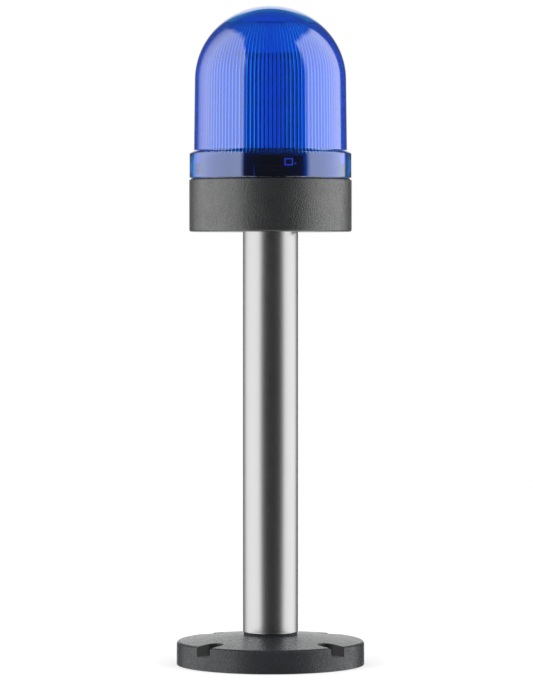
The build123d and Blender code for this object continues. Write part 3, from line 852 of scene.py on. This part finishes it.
            def on_crest(co: Vector) -> bool:
                """Say whether a point is on this crest of a rib.

                Args:
                    co: Its place.

                Returns:
                    True where it is.
                """
                in_height = self.ceiling_z - SLACK < co.z < top_z + SLACK
                if not in_height or abs(math.hypot(co.x, co.y) - self.groove_r(co.z)) > self.groove_slack:
                    return False
                return round(math.atan2(co.y, co.x) / TAU * steps) % per_rib in wanted

            count = select_where(piece, "VERT", on_crest)
            widen(1 - crest * self.rib_relief / self.groove_foot_r)
            LOG.info("rib crest %.2f: %d points", crest, count)

    def raise_lugs(self, piece: Piece) -> None:
        """Extrude the bayonet lugs from the collar's inner wall.

        Args:
            piece: The turned lens.
        """
        pitch = 360 / self.lug_count

        def on_lug(co: Vector) -> bool:
            """Say whether a face is the root of a lug.

            Args:
                co: Its middle.

            Returns:
                True where it is.
            """
            angle = math.degrees(math.atan2(co.y, co.x)) % pitch
            near = min(angle, pitch - angle) < self.lug_deg / 2
            on_wall = abs(math.hypot(co.x, co.y) - self.collar_in_r) < NEAR
            return near and on_wall and self.lug_z < co.z < self.lug_z + self.lug_height

        select_where(piece, "FACE", on_lug)
        extrude((0, 0, 0))
        widen(1 - self.lug_reach / self.collar_in_r)

    def build(self, material: Material) -> Piece:
        """Model the lens and dress it.

        Args:
            material: The lens's material.

        Returns:
            The finished piece.
        """
        outline = self.outer() + self.inner()
        piece = turn_profile("ribbed_lens", outline + outline[:1], len(self.rib_crests) * self.rib_count)
        self.raise_ribs(piece)
        self.raise_lugs(piece)
        smooth(piece, self.smooth_deg)
        dress(piece, material)
        place(piece, Body.LENS, "lens_blue", "lens")
        return piece


@dataclass
class LockMark:
    """The small raised lock mark on the collar: an upright frame with a dot beside it."""

    width: float = 3.9 * MM
    height: float = 3.2 * MM
    line: float = 0.55 * MM
    proud: float = 0.12 * MM
    sunk: float = 0.25 * MM
    dot_r: float = 0.42 * MM
    dot_gap: float = 1.1 * MM
    dot_sides: int = 24
    rise: float = 6.6 * MM
    turn_deg: float = 12.6
    edge_round: float = 0.04 * MM
    body_r: float = field(init=False)
    low: float = field(init=False)

    def __post_init__(self) -> None:
        """Take the collar's radius and foot from the lens's box."""
        self.body_r, self.low, _ = round_box("lens")

    def build(self, material: Material) -> Piece:
        """Model the mark on the collar's skin and dress it.

        Args:
            material: The mark's material.

        Returns:
            The finished piece.
        """
        depth = self.proud + self.sunk
        rest_selection()
        bpy.ops.mesh.primitive_plane_add(size=1, location=(0, 0, 0), rotation=(TAU / 4, 0, 0))
        piece = bpy.context.object
        piece.name = piece.data.name = "lock_mark"
        piece.scale = (self.width, self.height, 1)
        settle()
        edit(piece)
        bpy.ops.mesh.select_all(action="SELECT")
        bpy.ops.mesh.inset(thickness=self.line, depth=0)
        bpy.ops.mesh.delete(type="FACE")
        bpy.ops.mesh.select_all(action="SELECT")
        extrude((0, -depth, 0))
        bpy.ops.mesh.select_all(action="SELECT")
        bpy.ops.mesh.normals_make_consistent(inside=False)
        rest_selection()
        dot_x = self.width / 2 + self.dot_gap
        bpy.ops.mesh.primitive_cylinder_add(vertices=self.dot_sides, radius=self.dot_r, depth=depth,
                                            rotation=(TAU / 4, 0, 0),
                                            location=(dot_x, -depth / 2, -self.height / 4))
        dot = bpy.context.object
        settle()
        join([piece, dot])
        turn = math.radians(self.turn_deg)
        reach = self.body_r - self.sunk
        piece.rotation_euler.z = turn
        piece.location = (reach * math.sin(turn), -reach * math.cos(turn), self.low + self.rise)
        settle()
        apply_modifier(piece, "BEVEL", width=self.edge_round, segments=2, limit_method="ANGLE")
        dress(piece, material)
        place(piece, Body.LENS, "lens_blue")
        return piece


@dataclass
class Pole:
    """The metal tube with its broken outer edges."""

    wall: float = 1.5 * MM
    edge_break: float = 0.4 * MM
    edge_bend: float = 0.3
    steps: int = 160
    smooth_deg: float = 40.0

    def build(self, material: Material) -> Piece:
        """Turn the tube and dress it.

        Args:
            material: The tube's material.

        Returns:
            The finished piece.
        """
        r, low, high = round_box("pole")
        brk, bend = self.edge_break, self.edge_bend * self.edge_break
        outline = [(r - self.wall, low), (r - brk, low), (r - bend, low + bend), (r, low + brk),
                   (r, high - brk), (r - bend, high - bend), (r - brk, high), (r - self.wall, high)]
        piece = turn_profile("pole_tube", outline + outline[:1], self.steps)
        smooth(piece, self.smooth_deg)
        dress(piece, material)
        place(piece, Body.STAND, "pole_metal", "pole")
        return piece


@dataclass
class Foot:
    """The foot: a turned disc with a shallow cone, open screw pockets and a ribbed hollow underneath."""

    rim_h: float = 10.4 * MM
    edge_round: float = 1.5 * MM
    seat_r: float = 13.2 * MM
    cable_r: float = 4.0 * MM
    groove_r: float = 40.0 * MM
    groove_w: float = 1.6 * MM
    groove_depth: float = 1.0 * MM
    pocket_w: float = 8.4 * MM
    pocket_floor: float = 6.0 * MM
    pocket_break: float = 0.4 * MM
    pocket_slack: float = 0.05 * MM
    grained_band: float = 1.0 * MM
    fixing_at_r: float = 36.0 * MM
    fixing_r: float = 2.25 * MM
    fixing_count: int = 4
    fixing_start_deg: float = 45.0
    hub_r: float = 16.5 * MM
    ring_in_r: float = 30.0 * MM
    top_wall: float = 2.6 * MM
    rib_t: float = 1.8 * MM
    rib_pairs: int = 4
    screw_at_r: float = 7.975 * MM
    screw_r: float = 1.9 * MM
    screw_count: int = 4
    counterbore_r: float = 3.3 * MM
    counterbore_depth: float = 6.0 * MM
    edge_rings: int = 6
    steps: int = 288
    hollow_steps: int = 97
    edge_tool_sides: int = 40
    smooth_deg: float = 40.0
    body_r: float = field(init=False)
    high: float = field(init=False)

    def __post_init__(self) -> None:
        """Take the radius and the height from the foot's own box."""
        self.body_r, _, self.high = round_box("foot")

    @property
    def lean(self) -> float:
        """Slope of the cone."""
        return math.atan2(self.high - self.rim_h, self.body_r - self.seat_r)

    def cone_z(self, radius: float) -> float:
        """Height of the cone at a radius."""
        return self.rim_h + (self.high - self.rim_h) * (self.body_r - radius) / (self.body_r - self.seat_r)

    def outline(self) -> Profile:
        """Trace the disc's closed outline, with the sealing cord's groove underneath.

        Returns:
            Its points, from the cable way's lower edge round to it again.
        """
        r, rnd = self.body_r, self.edge_round
        middle_r = r - rnd
        middle_z = self.cone_z(middle_r) - rnd / math.cos(self.lean)
        arc = [(TAU / 4 - self.lean) * i / self.edge_rings for i in range(self.edge_rings + 1)]
        rim = [(middle_r + rnd * math.cos(a), middle_z + rnd * math.sin(a)) for a in arc]
        groove_in, groove_out = self.groove_r - self.groove_w / 2, self.groove_r + self.groove_w / 2
        groove = [(groove_in, 0.0), (groove_in, self.groove_depth),
                  (groove_out, self.groove_depth), (groove_out, 0.0)]
        return ([(self.cable_r, 0.0)] + groove + [(r, 0.0)] + rim
                + [(self.seat_r, self.high), (self.cable_r, self.high), (self.cable_r, 0.0)])

    def in_pocket(self, middle: Vector) -> bool:
        """Say whether a face lies in a pocket, deeper than the grained band under its edge.

        Args:
            middle: The face's middle.

        Returns:
            True where it does.
        """
        pitch = TAU / self.fixing_count
        angle = math.atan2(middle.y, middle.x) - math.radians(self.fixing_start_deg)
        angle -= pitch * round(angle / pitch)
        radius = math.hypot(middle.x, middle.y)
        along, across = radius * math.cos(angle) - self.fixing_at_r, abs(radius * math.sin(angle))
        outside = (across if along > 0 else math.hypot(along, across)) - self.pocket_w / 2
        below_edge = middle.z < self.cone_z(radius) - self.grained_band
        return outside < self.pocket_slack and below_edge and middle.z > self.pocket_floor - NEAR

    def draw_out(self, tool: Piece, from_x: float) -> None:
        """Draw a cutter's outer half out past the rim."""
        select_where(tool, "VERT", lambda co: co.x > from_x + SLACK)
        shift((self.pocket_w * 2, 0, 0))

    def pocket_tool(self, angle: float) -> Piece:
        """Make the cutter for a pocket: a rod drawn out past the rim.

        Args:
            angle: The pocket's place round the foot.

        Returns:
            The cutter.
        """
        top = self.high + OVER
        rest_selection()
        bpy.ops.mesh.primitive_cylinder_add(vertices=ROD_SIDES, radius=self.pocket_w / 2,
                                            depth=top - self.pocket_floor,
                                            location=(self.fixing_at_r, 0, (top + self.pocket_floor) / 2))
        tool = bpy.context.object
        settle()
        self.draw_out(tool, self.fixing_at_r)
        tool.rotation_euler.z = angle
        settle()
        return tool

    def edge_tool(self, angle: float) -> Piece:
        """Make the cutter that breaks a pocket's upper edge: a flared rod laid along the cone.

        Args:
            angle: The pocket's place round the foot.

        Returns:
            The cutter.
        """
        low_r = self.pocket_w / 2 - self.pocket_slack
        rest_selection()
        bpy.ops.mesh.primitive_cylinder_add(vertices=self.edge_tool_sides, radius=low_r,
                                            depth=2 * self.pocket_break, location=(0, 0, 0))
        tool = bpy.context.object
        select_where(tool, "VERT", lambda co: co.z > 0)
        widen(1 + 2 * self.pocket_break / low_r)
        self.draw_out(tool, 0.0)
        at_r = self.fixing_at_r
        tool.rotation_euler = (0, self.lean, angle)
        tool.location = (at_r * math.cos(angle), at_r * math.sin(angle), self.cone_z(at_r))
        settle()
        return tool

    def hollow_tool(self) -> Piece:
        """Make the cutter for the hollow underside, with the ribs left out.

        Returns:
            The cutter.
        """
        inner, outer = self.hub_r, self.ring_in_r
        outline = [(inner, -OVER), (outer, -OVER), (outer, self.cone_z(outer) - self.top_wall),
                   (inner, self.cone_z(inner) - self.top_wall), (inner, -OVER)]
        tool = turn_profile("hollow", outline, self.hollow_steps)
        for i in range(self.rib_pairs):
            rest_selection()
            bpy.ops.mesh.primitive_cube_add(size=1, location=(0, 0, self.high / 2),
                                            rotation=(0, 0, TAU / 2 * i / self.rib_pairs))
            rib = bpy.context.object
            rib.scale = (self.body_r * 2, self.rib_t, self.high + 4 * OVER)
            settle()
            combine(tool, rib, "DIFFERENCE")
        return tool

    def build(self, outside: Material, pocket_shade: Material) -> Piece:
        """Model the foot and dress it, with the pockets' insides darkened as painted shade.

        Args:
            outside: The grained material.
            pocket_shade: The darker, plainer material of the pockets' insides; its darkness is painted
                shade.

        Returns:
            The finished piece.
        """
        piece = turn_profile("foot_moulding", self.outline(), self.steps)
        for i in range(self.fixing_count):
            angle = math.radians(self.fixing_start_deg) + TAU * i / self.fixing_count
            combine(piece, self.pocket_tool(angle), "DIFFERENCE")
            combine(piece, self.edge_tool(angle), "DIFFERENCE")
        combine(piece, self.hollow_tool(), "DIFFERENCE")
        fixings = on_circle(self.fixing_at_r, self.fixing_count, self.fixing_start_deg)
        screws = on_circle(self.screw_at_r, self.screw_count, 0.0)
        cuts = ((fixings, self.fixing_r, self.high), (screws, self.screw_r, self.high + OVER),
                (screws, self.counterbore_r, self.counterbore_depth))
        for places, radius, top in cuts:
            combine(piece, rods("cutters", places, radius, -OVER, top), "DIFFERENCE")
        clean_cuts(piece)
        smooth(piece, self.smooth_deg)
        apply_modifier(piece, "WEIGHTED_NORMAL", keep_sharp=True)
        dress(piece, outside)
        piece.data.materials.append(pocket_shade)
        # Faces deep in the pockets get the darker second material: painted shade where the pockets' walls
        # keep the light out.
        for face in piece.data.polygons:
            face.material_index = int(self.in_pocket(face.center))
        place(piece, Body.STAND, "foot_plastic", "foot")
        return piece


@dataclass
class Housing:
    """The sounder housing: a turned cup with socket, bosses, sound holes, neck and bayonet ledges."""

    edge_round: float = 1.0 * MM
    top_break: float = 0.3 * MM
    wall: float = 2.5 * MM
    floor: float = 3.0 * MM
    height: float = 23.5 * MM
    seal_in_r: float = 34.6 * MM
    seal_w: float = 1.4 * MM
    seal_depth: float = 0.8 * MM
    neck_r: float = 32.0 * MM
    neck_wall: float = 2.0 * MM
    socket_r: float = 12.55 * MM
    socket_wall: float = 2.4 * MM
    socket_depth: float = 10.0 * MM
    socket_lip: float = 2.5 * MM
    cable_r: float = 4.5 * MM
    ledge_rise: float = 5.5 * MM
    ledge_height: float = 1.5 * MM
    ledge_r: float = 33.9 * MM
    ledge_deg: tuple[float, float] = (-15.0, 14.1)
    stop_deg: float = 2.4
    open_stop_deg: float = 42.6
    ledge_count: int = 4
    steps: int = 600
    smooth_deg: float = 35.0
    plug_screw_r: float = 1.9 * MM
    plug_screw_at_r: float = 7.975 * MM
    plug_screw_count: int = 4
    boss_r: float = 3.2 * MM
    boss_at_r: float = 25.0 * MM
    boss_top: float = 16.5 * MM
    boss_count: int = 3
    boss_start_deg: float = 60.0
    pilot_r: float = 1.5 * MM
    pilot_depth: float = 7.9 * MM
    sound_hole_r: float = 0.9 * MM
    sound_ring_r: float = 2.6 * MM
    sound_hole_count: int = 6
    sounder_at_r: float = 22.4 * MM
    edge_rings: int = 6
    grained_band: float = 1.0 * MM
    low: float = field(init=False)
    high: float = field(init=False)
    body_r: float = field(init=False)

    def __post_init__(self) -> None:
        """Take the place and the radius from the housing's own box."""
        self.body_r, self.low, self.high = round_box("housing")

    @property
    def rim_z(self) -> float:
        """Height of the rim under the lens."""
        return self.low + self.height

    def outline(self) -> Profile:
        """Trace the cup's closed outline.

        Returns:
            Its points, from the socket's mouth round the outside and back inside.
        """
        low, rim, r, brk = self.low, self.rim_z, self.body_r, self.top_break
        edge = rounded_foot(r, low, self.edge_round, self.edge_rings)
        seal_out = self.seal_in_r + self.seal_w
        seal_z = rim - self.seal_depth
        ledge_z = rim + self.ledge_rise
        neck_in = self.neck_r - self.neck_wall
        deck = rim - self.wall
        floor_z = low + self.floor
        socket_out = self.socket_r + self.socket_wall
        seat_z = low + self.socket_depth
        lip_z = seat_z + self.socket_lip
        return ([(self.socket_r, low)] + edge
                + [(r, rim - brk), (r - brk, rim), (seal_out, rim), (seal_out, seal_z),
                   (self.seal_in_r, seal_z), (self.seal_in_r, rim), (self.neck_r, rim),
                   (self.neck_r, ledge_z), (self.neck_r, ledge_z + self.ledge_height),
                   (self.neck_r, self.high), (neck_in, self.high), (neck_in, deck),
                   (r - self.wall, deck), (r - self.wall, floor_z), (socket_out, floor_z),
                   (socket_out, lip_z), (self.cable_r, lip_z), (self.cable_r, seat_z),
                   (self.socket_r, seat_z), (self.socket_r, low)])

    def raise_ledges(self, piece: Piece) -> None:
        """Extrude the ledges and their stops from the neck.

        Args:
            piece: The turned cup.
        """
        pitch = 360 / self.ledge_count
        low_ledge = self.rim_z + self.ledge_rise
        high_ledge = low_ledge + self.ledge_height

        def on_ledge(co: Vector) -> bool:
            """Say whether a face is the root of a ledge or a stop.

            Args:
                co: Its middle.

            Returns:
                True where it is.
            """
            if abs(math.hypot(co.x, co.y) - self.neck_r) > NEAR or not self.rim_z < co.z < high_ledge:
                return False
            angle = (math.degrees(math.atan2(co.y, co.x)) - self.ledge_deg[0]) % pitch
            closed = angle < self.stop_deg
            opened = 0 < angle - (self.open_stop_deg - self.ledge_deg[0]) < self.stop_deg
            ledge = angle < self.ledge_deg[1] - self.ledge_deg[0] and co.z > low_ledge
            return closed or opened or ledge

        count = select_where(piece, "FACE", on_ledge)
        extrude((0, 0, 0))
        widen(self.ledge_r / self.neck_r)
        LOG.info("bayonet ledges: %d faces raised", count)

    def bosses(self, piece: Piece) -> None:
        """Stand the board's bosses in the cup, each with its pilot hole.

        Args:
            piece: The turned cup.
        """
        places = on_circle(self.boss_at_r, self.boss_count, self.boss_start_deg)
        top = self.low + self.boss_top
        bosses = rods("bosses", places, self.boss_r, self.low + 0.5 * self.floor, top)
        combine(piece, bosses, "UNION")
        pilots = rods("pilots", places, self.pilot_r, top - self.pilot_depth, top + OVER)
        combine(piece, pilots, "DIFFERENCE")

    def holes(self, piece: Piece) -> None:
        """Cut the plug screws' holes and the sound holes.

        Args:
            piece: The turned cup.
        """
        seat_z = self.low + self.socket_depth
        screws = on_circle(self.plug_screw_at_r, self.plug_screw_count, 0.0)
        ring = on_circle(self.sound_ring_r, self.sound_hole_count, 0.0)
        sound = [(self.sounder_at_r + x, y) for x, y in [(0.0, 0.0)] + ring]
        cuts = ((screws, self.plug_screw_r, seat_z - OVER, seat_z + self.socket_lip + OVER),
                (sound, self.sound_hole_r, self.low - OVER, self.low + self.floor + OVER))
        for places, radius, low, high in cuts:
            combine(piece, rods("cutters", places, radius, low, high), "DIFFERENCE")

    def build(self, outside: Material, inside: Material) -> Piece:
        """Model the housing and dress it, grained outside, and plainer and darker inside, the darkness being
        painted shade.

        Args:
            outside: The grained outer material.
            inside: The plainer, darker material of its inner faces and its neck; its darkness is painted
                shade.

        Returns:
            The finished piece.
        """
        piece = turn_profile("housing_moulding", self.outline(), self.steps)
        self.raise_ledges(piece)
        self.bosses(piece)
        self.holes(piece)
        clean_cuts(piece)
        smooth(piece, self.smooth_deg)
        dress(piece, outside)
        piece.data.materials.append(inside)
        # Inner faces and the neck get the darker second material: painted shade inside the cup and behind
        # the lens collar.
        for face in piece.data.polygons:
            middle = face.center
            within = math.hypot(middle.x, middle.y) < self.body_r - self.top_break
            face.material_index = int(within and middle.z > self.low + self.grained_band)
        place(piece, Body.STAND, "housing_plastic", "housing")
        return piece


@dataclass(frozen=True)
class Studio:
    """Camera, backdrop, floor and lamps."""

    distance: float = 1.609
    height: float = 0.1846
    side: float = -0.0018
    tilt_deg: float = 1.457
    lens_mm: float = 184.9
    nearest: float = 0.05
    farthest: float = 50.0
    diffuse_level: float = 0.62
    ceiling_level: float = 0.05
    # Reflected surroundings: angle from the camera's side about the object, and grey
    surround: Stops = (
        (-180, 1.0), (-170, 1.0), (-161, 0.06), (-143, 0.08), (-130, 0.9), (-112, 1.7), (-60, 1.8),
        (-44, 1.95), (-38, 0.05), (52, 0.05), (59, 1.8), (118, 1.85), (129, 1.5), (134, 0.06),
        (162, 0.06), (170, 1.0), (180, 1.0))
    surround_gain: float = 2.0
    # The same, for light that comes through the lens
    background: Stops = (
        (-180, 0.95), (-120, 0.95), (-112, 1.7), (-46, 1.6), (-38, 0.03), (50, 0.03), (57, 1.8), (130, 1.8),
        (136, 0.35), (150, 0.35), (157, 0.95), (180, 0.95))
    # Height of the soft boxes' upper edge as a share of the sky, by the same angle
    box_tops: Stops = (
        (-180, 0.60), (-152, 0.60), (-136, 0.66), (-124, 0.76), (-95, 0.84), (-67, 0.83),
        (-48, 0.66), (-40, 0.45), (50, 0.45), (56, 0.79), (92, 0.82), (129, 0.73), (138, 0.60),
        (180, 0.60))
    # Fade over that edge, fade of the background by height, and the floor's fade to white
    box_fade: Stops = ((0.47, 0.0), (0.53, 1.0))
    height_fade: Stops = ((0.1, 1.0), (0.5, 0.7), (0.95, 0.35))
    floor_fade: Stops = ((0.06, 0.55), (0.35, 1.0))
    floor_grey: float = 0.86
    floor_r: float = 12.0
    floor_drop: float = 0.15 * MM
    aim: Point3 = (0, 0, 0.15)
    # Lamps: name, place, side of the square face in metres, power in watts
    lamps: tuple[tuple[str, Point3, float, float], ...] = (
        ("key_left", (-1.3, -0.9, 1.1), 0.9, 16.0), ("key_right", (1.3, -0.9, 1.1), 0.9, 16.0),
        ("top", (0.0, 0.3, 1.8), 1.2, 14.0))

    @staticmethod
    def around(table: Stops, gain: float) -> Stops:
        """Turn angles from -180 to 180 degrees into places on a ramp, and levels into shares of the gain."""
        return [((angle + 180) / 360, level / gain) for angle, level in table]

    def camera(self) -> None:
        """Set the camera at the photograph's viewing angle."""
        rest_selection()
        bpy.ops.object.camera_add(location=(self.side, -self.distance, self.height),
                                  rotation=(math.radians(90 - self.tilt_deg), 0, 0))
        camera = bpy.context.object
        camera.name = "camera"
        camera.data.lens = self.lens_mm
        camera.data.clip_start = self.nearest
        camera.data.clip_end = self.farthest
        bpy.context.scene.camera = camera

    def world(self) -> None:
        """Build the surroundings: white behind, soft light round about, tall soft boxes in reflections."""
        world = bpy.data.worlds.new("studio")
        bpy.context.scene.world = world
        world.use_nodes = True
        world.node_tree.nodes.clear()
        nodes = Nodes(world.node_tree)
        way = nodes.add("SeparateXYZ", Vector=nodes.add("TexCoord").outputs["Generated"])
        turn = nodes.math("ARCTAN2", way.outputs["X"], nodes.math("MULTIPLY", way.outputs["Y"], -1.0))
        share = nodes.math("ADD", nodes.math("DIVIDE", turn, TAU), 0.5)
        gain = self.surround_gain
        boxes = nodes.math("MULTIPLY", nodes.ramp(share, self.around(self.surround, gain)), gain)
        top = nodes.ramp(share, self.around(self.box_tops, 1.0))
        above = nodes.math("ADD", nodes.math("SUBTRACT", way.outputs["Z"], top), 0.5)
        overhead = nodes.ramp(above, self.box_fade)
        ceiling = nodes.math("MULTIPLY", overhead, self.ceiling_level)
        walls = nodes.math("MULTIPLY", boxes, nodes.math("SUBTRACT", 1.0, overhead))
        mirrored = nodes.math("ADD", walls, ceiling)
        behind = nodes.math("MULTIPLY", nodes.ramp(share, self.around(self.background, gain)), gain)
        through = nodes.math("MULTIPLY", behind, nodes.ramp(way.outputs["Z"], self.height_fade))
        path = nodes.add("LightPath")
        level = nodes.mix(path.outputs["Is Glossy Ray"], self.diffuse_level, mirrored)
        clear = nodes.mix(path.outputs["Is Transmission Ray"], level, through)
        seen = nodes.mix(path.outputs["Is Camera Ray"], clear, 1.0)
        background = nodes.add("Background", Color=(1, 1, 1, 1), Strength=seen)
        nodes.feed(nodes.add("OutputWorld").inputs["Surface"], background.outputs[0])

    def floor(self) -> None:
        """Lay a pale floor that shows white and keeps a soft shadow."""
        rest_selection()
        bpy.ops.mesh.primitive_circle_add(vertices=96, radius=self.floor_r, fill_type="NGON",
                                          location=(0, 0, -self.floor_drop))
        floor = bpy.context.object
        floor.name = "floor"
        material = bpy.data.materials.new("pale_floor")
        material.use_nodes = True
        material.node_tree.nodes.clear()
        nodes = Nodes(material.node_tree)
        path = nodes.add("LightPath")
        seen = nodes.math("MAXIMUM", path.outputs["Is Camera Ray"], path.outputs["Is Transmission Ray"])
        reach = nodes.add("VectorMath", operation="LENGTH")
        nodes.feed(reach.inputs[0], nodes.object_place())
        far = nodes.ramp(reach.outputs["Value"], self.floor_fade)
        glow = nodes.math("MULTIPLY", seen, far)
        diffuse = nodes.add("BsdfDiffuse", Color=(self.floor_grey,) * 3 + (1.0,))
        emission = nodes.add("Emission", Color=(1, 1, 1, 1), Strength=1.0)
        lit = nodes.add("MixShader", Fac=glow)
        clear = nodes.add("BsdfTransparent", Color=(1, 1, 1, 1))
        mirrored = nodes.add("MixShader", Fac=path.outputs["Is Glossy Ray"])
        for mixer, first, second in ((lit, diffuse, emission), (mirrored, lit, clear)):
            nodes.feed(mixer.inputs[1], first.outputs[0])
            nodes.feed(mixer.inputs[2], second.outputs[0])
        nodes.feed(nodes.add("OutputMaterial").inputs["Surface"], mirrored.outputs[0])
        dress(floor, material)

    def lamp(self, name: str, place_at: Point3, size: float, power: float) -> None:
        """Hang one soft lamp that points at the middle of the object.

        Args:
            name: Name of the lamp.
            place_at: Where it hangs.
            size: Side of its square face.
            power: Its power in watts.
        """
        rest_selection()
        bpy.ops.object.light_add(type="AREA", location=place_at)
        lamp = bpy.context.object
        lamp.name = name
        lamp.data.size = size
        lamp.data.energy = power
        lamp.rotation_euler = (Vector(self.aim) - Vector(place_at)).to_track_quat("-Z", "Y").to_euler()
        lamp.visible_glossy = False
        lamp.visible_transmission = False

    def build(self) -> None:
        """Set everything up."""
        self.camera()
        self.world()
        self.floor()
        for lamp in self.lamps:
            self.lamp(*lamp)
        scene = bpy.context.scene
        scene.view_settings.view_transform = "Standard"
        scene.cycles.max_bounces = 24
        scene.cycles.transmission_bounces = 20
        scene.cycles.glossy_bounces = 8


class Beacon:
    """The whole object: pieces modelled for what shows, and finishes for every solid."""

    def __init__(self, effects: Effects) -> None:
        """Make every finish once."""
        self.materials = {name: finish.make(effects) for name, finish in FINISHES.items()}

    def dress_nodes(self) -> None:
        """Give each carried-over solid the finish of its slot."""
        for row in frame["record"]["subparts"]:
            node, slot = row["node"], row["material_slot"]
            dress(frame["nodes"][node], self.materials[slot])
            LOG.info("%s: %s", node, slot)

    def build(self) -> None:
        """Build every piece in order, from the foot up."""
        self.dress_nodes()
        foot = Foot().build(self.materials["foot_plastic"], self.materials["pocket_painted_shade"])
        Pole().build(self.materials["pole_metal"])
        housing = Housing().build(self.materials["housing_plastic"], self.materials["housing_inside_painted_shade"])
        Lens().build(self.materials["lens_blue"])
        LockMark().build(self.materials["mark_blue"])
        for piece in (foot, housing):
            piece.visible_glossy = False


def main() -> None:
    """Build the beacon and its studio."""
    logging.basicConfig(level=logging.INFO, format="%(name)s %(message)s")
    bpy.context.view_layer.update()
    Beacon(Effects()).build()
    Studio().build()


if __name__ == "__main__":
    main()
